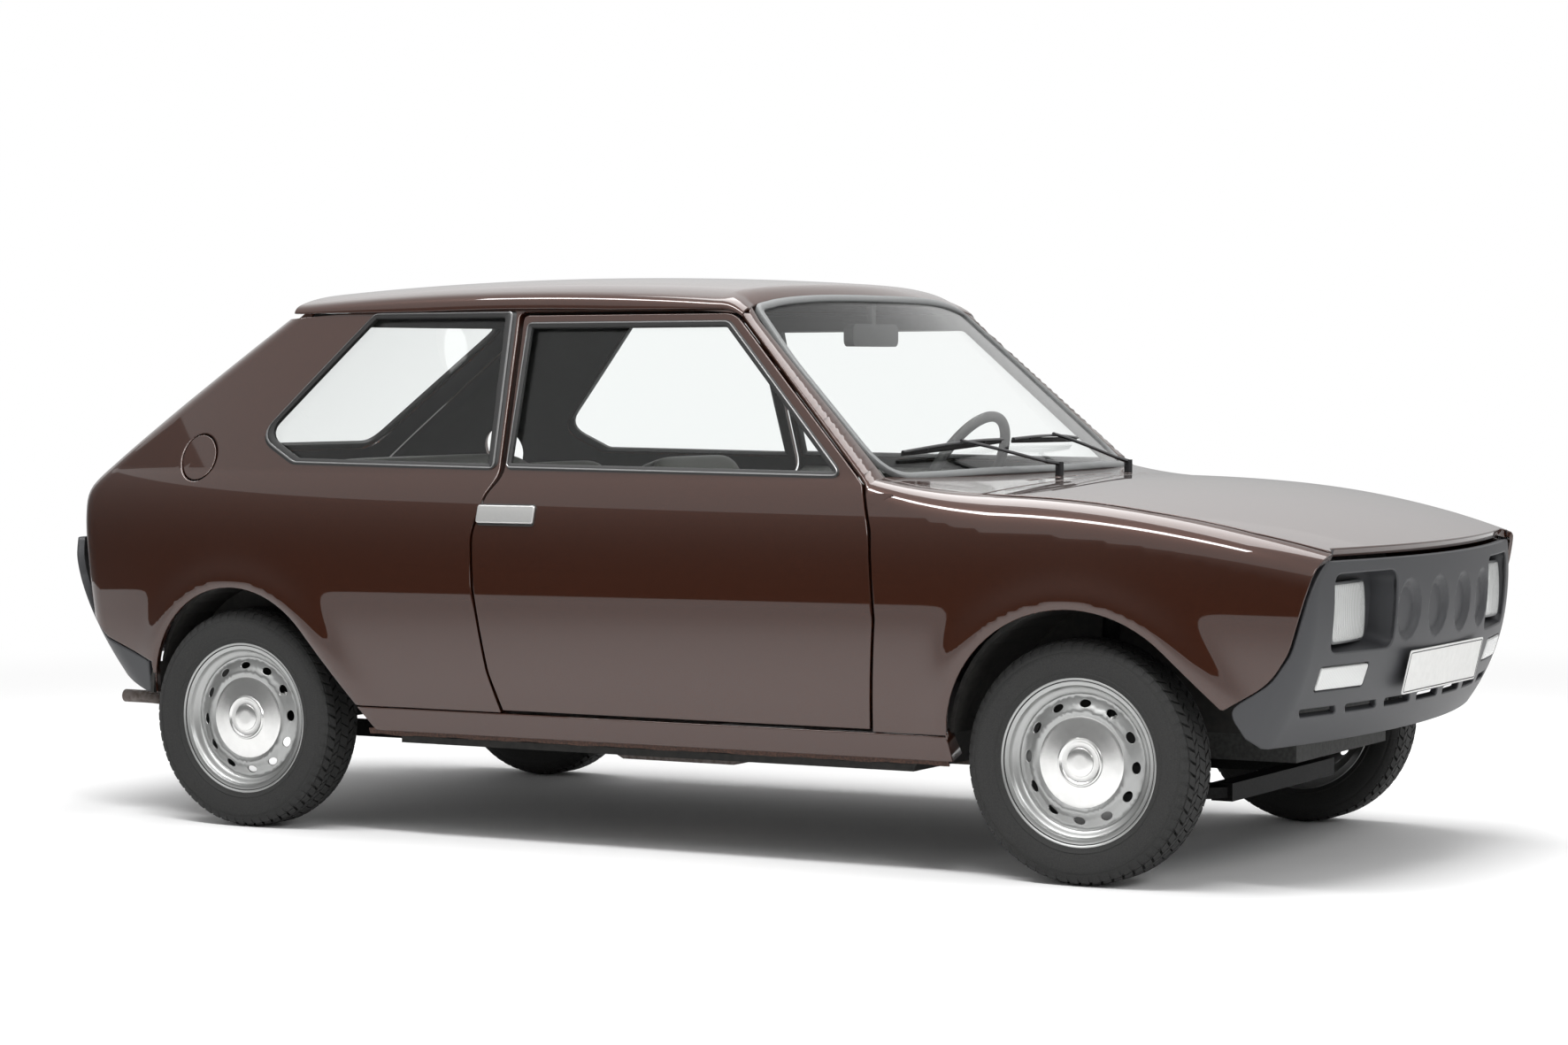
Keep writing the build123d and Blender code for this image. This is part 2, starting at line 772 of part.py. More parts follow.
# ---- sills --------------------------------------------------------------------------------------------
sill_depth = 90
sill_front_x = front_axle - 289
sill_rear_x = rear_axle + 250
sill_rows = [side_row(sill_rear_x + 50, sill_front_x + 20, z, 4) for z in steps(sill_bottom - 10, sill_seam + 10, 5)]
with BuildPart() as sill_right:
    loft(sections=[band(row, sill_depth, 2) for row in sill_rows])
    add(box_block(sill_rear_x, sill_front_x, -900, 0, sill_bottom, sill_seam), mode=Mode.INTERSECT)
    add(side_block(rear_well), mode=Mode.SUBTRACT)
with BuildPart() as sills:
    add(sill_right.part)
    mirror(sill_right.part, about=Plane.XZ)
write(sills, "sills")

# ---- floor and firewall ---------------------------------------------------------------------------------
sheet = 16


def sheet_profile(points, half, thickness=sheet):
    """Bent sheet across the car that follows a side-view line."""
    with BuildPart(mode=Mode.PRIVATE) as bent:
        with BuildSketch(Plane.XZ.offset(-half)):
            with BuildLine():
                Polyline(*points)
            trace(line_width=thickness)
        extrude(amount=2 * half)
    return bent.part


floor_half = half_body - 48 - sill_depth
boot_half = track_rear / 2 - tyre_width / 2 - 38
boot_height = 345
firewall_line = [
    (front_axle - 330, belt_height - 60),
    (front_axle - 345, 420),
    (front_axle - 440, floor_height),
    (rear_axle + 410, floor_height),
]
boot_line = [
    (rear_axle + 400, floor_height),
    (rear_axle + 330, boot_height),
    (rear_x + 300, boot_height),
]
boot_wall_line = [
    (rear_x + 310, boot_height),
    (rear_x + 295, boot_height),
    (rear_x + 100, rear_panel_low - 10),
]
with BuildPart() as floor_pan:
    add(sheet_profile(firewall_line, floor_half))
    add(sheet_profile(boot_line, boot_half))
    add(sheet_profile(boot_wall_line, boot_half - 140))
write(floor_pan, "floor_pan")

# ---- wheel housings ---------------------------------------------------------------------------------------
def housing(well_inner, well_outer, inner, outer, low):
    """Right-hand wheel housing: an arched band with a wall on its inner side."""
    with BuildPart(mode=Mode.PRIVATE) as shell:
        add(side_block(well_outer, inner, outer))
        add(side_block(well_inner, inner + 12, outer + 50), mode=Mode.SUBTRACT)
        add(box_block(rear_x, front_x, -900, 900, 0, low), mode=Mode.SUBTRACT)
    return shell.part


rear_wells = [wheel_well(rear_axle, arch_lift_rear, arch_radius_rear, 40, grow) for grow in (4, 14)]
front_wells = [wheel_well(front_axle, arch_lift_front, arch_radius_front, 45, grow) for grow in (4, 14)]
with BuildPart() as housings_right:
    add(housing(*rear_wells, boot_half + 10, 700, sill_seam + 4))
    add(housing(*front_wells, 400, 690, sill_seam + 4))
    add(box_block(front_axle + 290, front_x + 200, -900, 0, 0, 480), mode=Mode.SUBTRACT)
    add(outer_ring.part, mode=Mode.SUBTRACT)
    add(fender_right.part, mode=Mode.SUBTRACT)
with BuildPart() as wheel_housings:
    add(housings_right.part)
    mirror(housings_right.part, about=Plane.XZ)
write(wheel_housings, "wheel_housings")

# ---- wheels -----------------------------------------------------------------------------------------
spindle_radius = 20
wheel_y_front = track_front / 2
wheel_y_rear = track_rear / 2
kingpin_y = wheel_y_front - kingpin_inset
arm_z = tyre_radius - 92
strut_top_z = tyre_radius + 310
kingpin_lean = 68 / 402


def wheel_profile(points, axle, middle, side):
    """Revolve a section, given as (radius, distance outboard), about a wheel's axis."""
    with BuildPart(mode=Mode.PRIVATE) as turned:
        with BuildSketch(Plane.XY):
            with BuildLine():
                Polyline(*[(axle + r, side * (middle + out)) for r, out in points], close=True)
            make_face()
        revolve(axis=Axis((axle, 0, 0), (0, 1, 0)))
    return turned.part.moved(Location((0, 0, tyre_radius)))


tyre_section = [
    (169, -50), (183, -51), (200, -62), (225, -tyre_width / 2), (247, -63), (260, -55),
    (tyre_radius, -47), (tyre_radius, 47), (260, 55), (247, 63), (225, tyre_width / 2),
    (200, 62), (183, 51), (169, 50),
]
half_rim = rim_width / 2
rim_section = [
    (rim_radius, half_rim - 5), (rim_radius, half_rim), (174, half_rim + 1), (170, half_rim - 4), (162, 44),
    (148, 34), (145, 28), (136, 31), (118, 40), (98, 40), (88, 33), (60, 38), (52, 50), (30, 50),
    (30, 44), (spindle_radius + 1, 44), (spindle_radius + 1, -14), (48, -14), (48, 24), (84, 26),
    (100, 33), (116, 33), (134, 24), (141, 20), (141, -26), (160, -46), (160, -half_rim + 5),
    (rim_radius, -half_rim), (rim_radius, -half_rim + 6), (168, -50), (168, -44), (148, -22), (148, 22),
    (152, 27), (168, 45), (168, 51),
]


def rim(axle, middle, side):
    """Pressed steel wheel with a ring of oval holes."""
    with BuildPart(mode=Mode.PRIVATE) as wheel:
        add(wheel_profile(rim_section, axle, middle, side))
        for angle in steps(0, 330, 12):
            at = radians(angle)
            hole = Plane(
                origin=(axle + 127 * cos(at), 0, tyre_radius + 127 * sin(at)),
                x_dir=(-sin(at), 0, cos(at)),
                z_dir=(0, -1, 0),
            )
            with BuildSketch(hole):
                Ellipse(14, 8)
            extrude(amount=side * -(middle + 70), mode=Mode.SUBTRACT)
    return wheel.part


for corner, axle, middle in (("front", front_axle, wheel_y_front), ("rear", rear_axle, wheel_y_rear)):
    for name, side in (("right", -1), ("left", 1)):
        with BuildPart() as tyre:
            add(wheel_profile(tyre_section, axle, middle, side))
        write(tyre, "tyre_" + corner + "_" + name)
        with BuildPart() as wheel_rim:
            add(rim(axle, middle, side))
        write(wheel_rim, "rim_" + corner + "_" + name)

# ---- knuckles, rear axle and front suspension ----------------------------------------------------------
for name, side in (("right", -1), ("left", 1)):
    with BuildPart() as knuckle:
        with BuildSketch(Plane.XZ):
            with Locations((front_axle, tyre_radius)):
                Circle(spindle_radius)
        extrude(amount=-side * (wheel_y_front + 30))
        add(box_block(front_axle - 200, front_axle + 200, 16 - kingpin_y, kingpin_y - 16, 0, 900), mode=Mode.SUBTRACT)
        with Locations((front_axle, side * kingpin_y, tyre_radius + 8)):
            Box(56, 44, 130)
        strut = Plane(
            origin=(front_axle, side * (kingpin_y + 10 - kingpin_lean * 152), arm_z + 152),
            z_dir=(0, -side * kingpin_lean, 1),
        )
        with BuildSketch(strut):
            Circle(20)
        extrude(amount=strut_top_z - arm_z - 160)
        with Locations((front_axle - 60, side * (kingpin_y - 10), tyre_radius - 30)):
            Box(120, 16, 22)
    write(knuckle, "knuckle_" + name)

with BuildPart() as rear_beam:
    with BuildSketch(Plane.XZ.offset(-(wheel_y_rear + 30))):
        with Locations((rear_axle, tyre_radius)):
            Circle(spindle_radius)
    extrude(amount=2 * (wheel_y_rear + 30))
    with BuildSketch(Plane.XZ.offset(-(wheel_y_rear - 75))):
        with Locations((rear_axle, tyre_radius)):
            Circle(32)
    extrude(amount=2 * (wheel_y_rear - 75))
    for side in (-1, 1):
        with Locations((rear_axle + 180, side * 420, tyre_radius - 42)):
            Box(360, 36, 36)
write(rear_beam, "rear_axle")

arm_plan = [(-18, kingpin_y), (18, kingpin_y), (190, 300), (150, 240), (-150, 240), (-190, 300)]
with BuildPart() as front_suspension:
    for side in (-1, 1):
        with BuildSketch(Plane.XY.offset(arm_z - 12)):
            with BuildLine():
                Polyline(*[(front_axle + x, side * y) for x, y in arm_plan], close=True)
            make_face()
        extrude(amount=24)
    with Locations((front_axle + 170, 0, arm_z)):
        Box(50, 620, 40)
    with Locations((front_axle - 170, 0, arm_z)):
        Box(50, 620, 40)
write(front_suspension, "front_suspension")

# ---- engine, tank, exhaust -------------------------------------------------------------------------------
with BuildPart() as engine:
    with Locations((front_axle + 110, 20, 470)):
        Box(430, 560, 460)
write(engine, "engine_block")
with BuildPart() as tank:
    with Locations((rear_axle + 560, 260, floor_height - 36)):
        Box(300, 400, 50)
    fillet(tank.edges().filter_by(Axis.Y), radius=14)
write(tank, "fuel_tank")
pipe_radius = 16
pipe_y = -140
pipe_z = floor_height - sheet / 2 - 3 - pipe_radius
silencer_front = front_axle - 987
silencer_rear = front_axle - 1339
with BuildPart() as exhaust:
    add(box_block(silencer_rear, silencer_front, -420, pipe_y + 30, pipe_z - 14, pipe_z + 14))
    chamfer(exhaust.edges().filter_by(Axis.Y).group_by(Axis.Z)[0], length=12, length2=24)
    with BuildSketch(Plane.YZ.offset(silencer_front - 10)):
        with Locations((pipe_y, pipe_z)):
            Circle(pipe_radius)
    extrude(amount=front_axle - 500 - silencer_front + 10)
    with BuildLine() as tail_route:
        FilletPolyline(
            (silencer_rear + 10, pipe_y, pipe_z),
            (rear_axle - 180, pipe_y, pipe_z),
            (rear_axle - 330, -440, 265),
            (rear_axle - 400, -560, 289),
            (rear_x + 160, -560, 289),
            radius=40,
        )
    with BuildSketch(Plane(origin=tail_route.line @ 0, z_dir=tail_route.line % 0)):
        Circle(pipe_radius)
    sweep()
write(exhaust, "exhaust")

# ---- dashboard, steering, seats ----------------------------------------------------------------------------
dash_face = [
    (front_axle - 420, belt_height - 65),
    (front_axle - 560, belt_height - 52),
    (front_axle - 640, belt_height - 90),
    (front_axle - 630, 640),
    (front_axle - 560, 600),
    (front_axle - 420, 600),
]
with BuildPart() as dashboard:
    add(side_block(dash_face, -600, 600))
write(dashboard, "dashboard")

driver_y = 320
column_tilt = 28
wheel_centre = (front_axle - 790, driver_y, belt_height - 40)
column_dir = (cos(radians(column_tilt)), 0, -sin(radians(column_tilt)))
column_plane = Plane(origin=wheel_centre, x_dir=(0, 1, 0), z_dir=column_dir)
with BuildPart() as steering_wheel:
    with BuildSketch(column_plane):
        Circle(28)
    extrude(amount=24)
    with Locations(Location(column_plane)):
        Torus(180, 13)
        with Locations((0, 0, 14)):
            Box(348, 34, 8)
write(steering_wheel, "steering_wheel")
with BuildPart() as steering_column:
    with BuildSketch(column_plane.offset(24.5)):
        Circle(22)
    extrude(amount=130)
write(steering_column, "steering_column")


def seat(front_edge_x, base_z, back_height, centre_y, width):
    """Seat with its cushion and back, front edge of the cushion at a station."""
    lean = 0.35 * (back_height - 150)
    seat_side = [
        (0, 0), (470, 12), (500, 50), (495, 130), (460, 150), (90, 120), (60, 150),
        (60 - lean, back_height - 25), (25 - lean, back_height), (-15 - lean, back_height - 15),
        (-20 - lean, back_height - 55), (-30, 90),
    ]
    right_edge = -centre_y - width / 2
    outline = [(front_edge_x - 500 + x, base_z + z) for x, z in seat_side]
    return side_block(outline, right_edge, right_edge + width)


seat_base = floor_height + 60
with BuildPart() as front_seats:
    add(seat(front_axle - 930, seat_base, 625, -driver_y, 470))
    add(seat(front_axle - 930, seat_base, 625, driver_y, 470))
write(front_seats, "front_seats")
with BuildPart() as rear_seat:
    add(seat(front_axle - 1580, boot_height + 10, 545, 0, 2 * boot_half - 20))
write(rear_seat, "rear_seat")
with BuildPart() as seat_runners:
    for side in (-1, 1):
        with Locations((front_axle - 1180, side * driver_y, floor_height + 33)):
            Box(400, 360, 34)
write(seat_runners, "seat_runners")

mirror_x = front_axle - 870
mirror_z = height - 146
with BuildPart() as mirror_head:
    with Locations((mirror_x, 0, mirror_z)):
        Box(26, 230, 54)
    fillet(mirror_head.edges().filter_by(Axis.X), radius=16)
    add(box_block(mirror_x - 7, mirror_x + 7, -10, 10, mirror_z, height))
    add(roof.part, mode=Mode.SUBTRACT)
    add(box_block(mirror_x - 20, mirror_x + 20, -20, 20, roof_top(mirror_x, 0) - 10, height + 20), mode=Mode.SUBTRACT)
write(mirror_head, "rear_view_mirror")

# ---- lights and plates on the front ------------------------------------------------------------------------
lamp_face = nose_x(545, 590) - 6
lamp_back = lamp_face - 46
with BuildPart() as headlights:
    with BuildSketch(Plane.YZ.offset(lamp_back)):
        with Locations((-446, 590), (446, 590)):
            RectangleRounded(200, 134, 18)
    extrude(amount=lamp_face - lamp_back)
write(headlights, "headlights")

plate_width = 480
plate_height = 100
plate_z = 446
plate_tilt = 13
plate_x = nose_x(0, plate_z + plate_height / 2) + 5 - plate_height / 2 * sin(radians(plate_tilt))
with BuildPart() as number_plates:
    with Locations(Location((plate_x, 0, plate_z), (0, plate_tilt, 0))):
        Box(3, plate_width, plate_height)
    for side in (-1, 1):
        with Locations((plate_x - 8, side * 150, plate_z)):
            Box(16, 30, 20)
    add(front_fascia.part, mode=Mode.SUBTRACT)
    with Locations((hatch_x(0, 745) - 3, 0, 755)):
        Box(3, plate_width, plate_height)
    add(rear_panel.part, mode=Mode.SUBTRACT)
write(number_plates, "number_plates")
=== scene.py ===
import json
from math import cos, pi, radians, sin, tan

import bmesh
import bpy
import numpy as np
from mathutils import Matrix, Vector
from mathutils.geometry import delaunay_2d_cdt


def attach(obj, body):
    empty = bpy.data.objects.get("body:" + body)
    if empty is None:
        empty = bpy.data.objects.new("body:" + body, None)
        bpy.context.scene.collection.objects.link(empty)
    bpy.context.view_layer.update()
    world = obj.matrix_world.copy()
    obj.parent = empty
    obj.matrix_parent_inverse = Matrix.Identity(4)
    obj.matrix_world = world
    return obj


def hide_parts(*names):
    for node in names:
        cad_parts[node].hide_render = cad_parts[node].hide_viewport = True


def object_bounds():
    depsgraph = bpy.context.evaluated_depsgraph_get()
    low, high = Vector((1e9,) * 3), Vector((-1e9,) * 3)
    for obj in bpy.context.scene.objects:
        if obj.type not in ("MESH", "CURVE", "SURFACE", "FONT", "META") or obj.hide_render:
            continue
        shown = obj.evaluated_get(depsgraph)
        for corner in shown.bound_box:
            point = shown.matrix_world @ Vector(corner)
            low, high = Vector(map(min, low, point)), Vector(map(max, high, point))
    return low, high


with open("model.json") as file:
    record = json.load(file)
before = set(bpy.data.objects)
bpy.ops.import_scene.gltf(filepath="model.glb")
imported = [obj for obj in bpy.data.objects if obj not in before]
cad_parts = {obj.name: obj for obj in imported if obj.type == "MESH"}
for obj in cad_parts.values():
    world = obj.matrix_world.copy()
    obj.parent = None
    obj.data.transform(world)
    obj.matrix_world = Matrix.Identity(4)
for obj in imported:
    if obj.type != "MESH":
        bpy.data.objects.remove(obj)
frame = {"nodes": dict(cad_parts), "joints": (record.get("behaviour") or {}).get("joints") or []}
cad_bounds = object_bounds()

# All sizes below are millimetres in the part's own frame: X forward, Y left, Z up.
# They turn into Blender's metres in one place, make_object.
MM = 0.001

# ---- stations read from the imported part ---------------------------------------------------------
joints = {joint["name"]: joint for joint in frame["joints"]}
low_corner = np.array(cad_bounds[0]) / MM
high_corner = np.array(cad_bounds[1]) / MM
front_x, rear_x = high_corner[0], low_corner[0]
height = high_corner[2]
front_axle = joints["wheel_front_right_spin"]["pos_m"][0] / MM
rear_axle = joints["wheel_rear_right_spin"]["pos_m"][0] / MM
front_wheel_y = abs(joints["wheel_front_right_spin"]["pos_m"][1]) / MM
rear_wheel_y = abs(joints["wheel_rear_right_spin"]["pos_m"][1]) / MM
tyre_radius = joints["wheel_front_right_spin"]["pos_m"][2] / MM
half_body = 757
belt_height = 870
widest_height = 610
tumblehome = 0.334
sill_bottom = 252
sill_seam = 311
roof_edge = height - 71
door_front_x = front_axle - 470
door_rear_x = rear_axle + 706
door_low = sill_seam + 6.5
door_top = roof_edge - 26
tail_x = rear_x + 34
hood_rear_x = front_axle - 235
roof_rear_x = rear_axle + 75
gap = 6.5
glass_low = belt_height - 2
tailgate_low = 818


# ---- body surfaces ------------------------------------------------------------------------------
def half_width(x, z):
    """Half width of the body side at a station, from the sill up to the cant rail."""
    low = np.clip(z, widest_height, belt_height)
    under = np.maximum(widest_height - z, 0) / 300
    side = half_body - 30 * under**2
    side = side - 45.4 * ((low - widest_height) / (belt_height - widest_height)) ** 2.8
    side = side - tumblehome * np.maximum(z - belt_height, 0)
    nose = np.maximum(x - (front_axle - 500), 0) / 1020
    tail = np.maximum((rear_axle + 525) - x, 0) / 1130
    return side - 110 * nose**4 - 120 * tail**3


def hood_height(x, y):
    """Top of the hood, its sides and the cowl."""
    run = x - (front_axle - 155)
    bow = np.where(run > 0, 20.3e-5, 7.5e-5)
    crown = 4.5e-5 + 1.0e-5 * np.maximum(x - (front_axle - 500), 0) / 1025
    rise = 30 * np.clip((hood_rear_x - x) / 260, 0, 1) ** 2
    return belt_height - 14 - 0.03 * run - bow * run**2 - crown * y**2 + rise


def roof_top(x, y):
    """Top of the roof panel."""
    across = np.abs(y) / 590
    return height - 5.9e-5 * (x - (rear_axle + 725)) ** 2 - 28 * across**2 - 23 * across**8


def windscreen_x(y, z):
    """Outer face of the windscreen."""
    return front_axle - 386 - 3.03e-4 * y**2 - 1.149 * (z - (belt_height + 15))


def nose_x(y, z):
    """Front face of the fascia."""
    return front_x - 2e-4 * y**2 - 105 * (np.maximum(655 - z, 0) / 350) ** 2.47


def hatch_x(y, z):
    """Rear face: the sloping tailgate above, rounding into the upright tail."""
    slope = roof_rear_x - (height - 28 - 45 * (y / 560) ** 2 - z) / 0.676
    upright = tail_x + 0.15 * (800 - np.minimum(z, 900)) + 1e-4 * y**2
    middle = (slope + upright) / 2
    return middle + np.sqrt(((slope - upright) / 2) ** 2 + 22**2)


arches = (  # axle, height of the arc's centre, radius, angle where the straight rear or front run starts
    (front_axle, 298, 297, radians(45)),
    (rear_axle, 308, 275, radians(40)),
)


def arch_gap(x, z, arch):
    """Distance outside a wheel opening's edge."""
    axle, lift, radius, lead = arch
    ahead, above = x - axle, z - lift
    angle = np.arctan2(above, ahead)
    round_part = np.hypot(ahead, above) - radius
    straight = ahead * cos(lead) + above * sin(lead) - radius
    leg = -ahead - radius
    out = np.where((angle > -pi / 2) & (angle < lead), straight, round_part)
    return np.where((above < 0) & (ahead < 0), leg, out)


def flare(x, z):
    """How far the rolled wheel arch lips stand out of the side."""
    out = 0
    for arch in arches:
        away = arch_gap(x, z, arch)
        rise = np.clip((z - arch[1] + 150) / 220, 0, 1)
        wide = np.where(away > 16, 46, 20)
        out = out + 8 * rise * np.exp(-(((away - 16) / wide) ** 2))
    return out


def side(u, v):
    """Right body side by station and height."""
    return np.stack([u, -(half_width(u, v) + flare(u, v)), v], -1)


def bezier(t, a, corner, b):
    t = t[..., None]
    return (1 - t) ** 2 * a + 2 * t * (1 - t) * corner + t**2 * b


tail_radius = 60
tail_turn = 1.62 * tail_radius


def tail_corner(z):
    """Corner of the tail at a height, before it is rounded: station and half width."""
    corner_y = half_width(tail_x, z)
    for _ in range(12):
        corner_x = hatch_x(corner_y, z)
        corner_y = half_width(corner_x, z)
    return corner_x, corner_y


def tail_u(x, z):
    """Distance from the centreline, along the back and round the corner, of a point on the side."""
    corner_x, corner_y = tail_corner(z)
    return x - corner_x - tail_radius + corner_y - tail_radius + tail_turn


def tail(u, v):
    """Body side, tail corner and back by distance from the centreline and height; right where u > 0."""
    away = np.abs(u)
    corner_x, corner_y = tail_corner(v)
    flat = corner_y - tail_radius
    t = np.clip((away - flat) / tail_turn, 0, 1)
    side_x = corner_x + tail_radius
    start = np.stack([hatch_x(flat, v), flat, v], -1)
    corner = np.stack([corner_x, corner_y, v], -1)
    end = np.stack([side_x, half_width(side_x, v), v], -1)
    out = bezier(t, start, corner, end)
    back = away < flat
    out[back] = np.stack([hatch_x(away, v), away, v], -1)[back]
    along = away > flat + tail_turn
    x = side_x + away - flat - tail_turn
    out[along] = np.stack([x, half_width(x, v) + flare(x, v), v], -1)[along]
    out[..., 1] *= -np.sign(u + 1e-9)
    return out


def shoulder_corner(x):
    corner_z = belt_height - 20 + 0 * x
    for _ in range(12):
        corner_y = half_width(x, corner_z)
        corner_z = hood_height(x, corner_y)
    radius = 30 + 45 * np.clip((x - (front_axle - 500)) / 300, 0, 1)
    return corner_y, corner_z, radius


def shoulder_v(x, y):
    """Coordinate over the shoulder of a point on top of the wing, y to the right of the centreline."""
    corner_y, corner_z, radius = shoulder_corner(x)
    return corner_z - radius + 1.62 * radius + (corner_y - radius - y)


def wing(u, v):
    """Right front wing by station and distance up the side and over the shoulder."""
    corner_y, corner_z, radius = shoulder_corner(u)
    low = corner_z - radius
    turn = 1.62 * radius
    t = np.clip((v - low) / turn, 0, 1)
    top_y = corner_y - radius
    start = np.stack([u, half_width(u, low), low], -1)
    corner = np.stack([u, corner_y, corner_z], -1)
    end = np.stack([u, top_y, hood_height(u, top_y)], -1)
    out = bezier(t, start, corner, end)
    below = v < low
    out[below] = np.stack([u, half_width(u, v) + flare(u, v), v], -1)[below]
    above = v > low + turn
    y = top_y - (v - low - turn)
    out[above] = np.stack([u, y, hood_height(u, y)], -1)[above]
    out[..., 1] *= -1
    return out


nose_radius = 38
nose_turn = 1.62 * nose_radius


def nose_corner(z):
    tuck = 45 * (np.clip(z - 600, 0, 112) / 112) ** 3
    corner_y = half_width(front_x - 90, z) - tuck
    for _ in range(12):
        corner_x = nose_x(corner_y, z)
        corner_y = half_width(corner_x, z) - tuck
    return corner_x, corner_y, tuck


def nose_u(x, z):
    """Distance from the centreline, round the corner, of a point on the side of the fascia."""
    corner_x, corner_y, _ = nose_corner(z)
    return corner_y - nose_radius + nose_turn + (corner_x - nose_radius - x)


ovals = [(y, 585) for y in (-237, -79, 79, 237)]


def nose(u, v):
    """Fascia by distance from the centreline and height; right where u > 0."""
    away = np.abs(u)
    corner_x, corner_y, tuck = nose_corner(v)
    flat = corner_y - nose_radius
    side_x = corner_x - nose_radius
    t = np.clip((away - flat) / nose_turn, 0, 1)
    start = np.stack([nose_x(flat, v), flat, v], -1)
    corner = np.stack([corner_x, corner_y, v], -1)
    end = np.stack([side_x, half_width(side_x, v) - tuck, v], -1)
    out = bezier(t, start, corner, end)
    front = away < flat
    out[front] = np.stack([nose_x(away, v), away, v], -1)[front]
    along = away > flat + nose_turn
    x = side_x - (away - flat - nose_turn)
    out[along] = np.stack([x, half_width(x, v) - tuck, v], -1)[along]
    for y, z in ovals:
        round_gap = np.hypot((u - y) / 58, (v - z) / 68)
        dish = np.clip((1 - round_gap) / 0.30, 0, 1)
        out[..., 0] -= 13 * dish * dish * (3 - 2 * dish)
    out[..., 1] *= -np.sign(u + 1e-9)
    return out


def bumper(u, v):
    """Rear bumper by distance from the centreline and height; right where u > 0."""
    radius = 70
    turn = 1.62 * radius
    away = np.abs(u)
    back_x = rear_x + 145 * (np.maximum(650 - v, 0) / 264) ** 1.5
    corner_y = half_width(back_x + 40, v) + 2
    corner_x = back_x + 1.2e-4 * corner_y**2
    flat = corner_y - radius
    side_x = corner_x + radius
    t = np.clip((away - flat) / turn, 0, 1)
    start = np.stack([back_x + 1.2e-4 * flat**2, flat, v], -1)
    corner = np.stack([corner_x, corner_y, v], -1)
    end = np.stack([side_x, half_width(side_x, v) + 2, v], -1)
    out = bezier(t, start, corner, end)
    back = away < flat
    out[back] = np.stack([back_x + 1.2e-4 * away**2, away, v], -1)[back]
    along = away > flat + turn
    x = side_x + away - flat - turn
    out[along] = np.stack([x, half_width(x, v) + 2, v], -1)[along]
    out[..., 1] *= -np.sign(u + 1e-9)
    return out


def bumper_u(x, z):
    back_x = rear_x + 145 * (np.maximum(650 - z, 0) / 264) ** 1.5
    corner_y = half_width(back_x + 40, z) + 2
    corner_x = back_x + 1.2e-4 * corner_y**2
    return x - corner_x - 70 + corner_y - 70 + 1.62 * 70


def roof_rim_z(y):
    """Height of the roof's front edge, which follows the windscreen."""
    return height - 52 - 27 * (np.minimum(np.abs(y), 560) / 522) ** 4


def roof_rim_x(y):
    return windscreen_x(np.minimum(np.abs(y), 528), roof_rim_z(y)) + 3


roof_turn = 52


def roof_side(x):
    """Half width over the roof's turned-down edge."""
    return half_width(x, 1247) + 2 + 7 * np.clip((front_axle - 840 - x) / 120, 0, 1)


def roof(u, v):
    """Roof by station and distance to the left, rolled down at the front and over the cant rails."""
    away = np.abs(v)
    wide = roof_side(u)
    flat = wide - 22
    y = np.minimum(away, flat)
    rim = roof_rim_x(y)
    share = np.clip((u - rim + 60) / 60, 0, 1)
    drop = np.maximum(roof_top(rim, y) - roof_rim_z(y), 0) * share**2
    top = roof_top(u, y) - drop
    low = np.maximum(roof_top(u, 590) - 32, 1246) - drop
    t = np.clip((away - flat) / roof_turn, 0, 1)
    start = np.stack([u, flat, top], -1)
    corner = np.stack([u, wide - 1, top - 8], -1)
    end = np.stack([u, wide, low], -1)
    turned = bezier(t, start, corner, end)
    over = away > flat
    out = np.stack([u, y, top], -1)
    out[over] = turned[over]
    out[..., 1] *= np.sign(v + 1e-9)
    return out


def hood(u, v):
    return np.stack([u, v, hood_height(u, v)], -1)


def screen(u, v):
    """Windscreen by distance to the left of the centreline and height."""
    return np.stack([windscreen_x(u, v), u, v], -1)


# ---- outlines -----------------------------------------------------------------------------------
def dense(points, step, closed=True):
    """Cut the runs of a line into pieces no longer than a step."""
    points = np.asarray(points, float)
    out = []
    count = len(points) if closed else len(points) - 1
    for i in range(count):
        a, b = points[i], points[(i + 1) % len(points)]
        pieces = max(1, int(np.ceil(np.linalg.norm(b - a) / step)))
        out += [a + (b - a) * k / pieces for k in range(pieces)]
    if not closed:
        out.append(points[-1])
    return np.array(out)


def rounded(corners, step=10, closed=True):
    """Outline from (x, y) or (x, y, radius) corners, with soft corners and short runs."""
    out = []
    count = len(corners)
    for i, corner in enumerate(corners):
        p = np.array(corner[:2], float)
        radius = corner[2] if len(corner) > 2 else 0
        if radius <= 0 or (not closed and i in (0, count - 1)):
            out.append(p)
            continue
        a, b = np.array(corners[i - 1][:2]), np.array(corners[(i + 1) % count][:2])
        to_a, to_b = (a - p), (b - p)
        long_a, long_b = np.linalg.norm(to_a), np.linalg.norm(to_b)
        turn = np.arccos(np.clip(to_a @ to_b / (long_a * long_b), -1, 1))
        cut = min(radius / tan(turn / 2), 0.49 * long_a, 0.49 * long_b)
        start, end = p + to_a / long_a * cut, p + to_b / long_b * cut
        for t in np.linspace(0, 1, 7):
            out.append((1 - t) ** 2 * start + 2 * t * (1 - t) * p + t**2 * end)
    return dense(out, step, closed)


def area(loop):
    x, y = loop[:, 0], loop[:, 1]
    return 0.5 * np.sum(x * np.roll(y, -1) - np.roll(x, -1) * y)


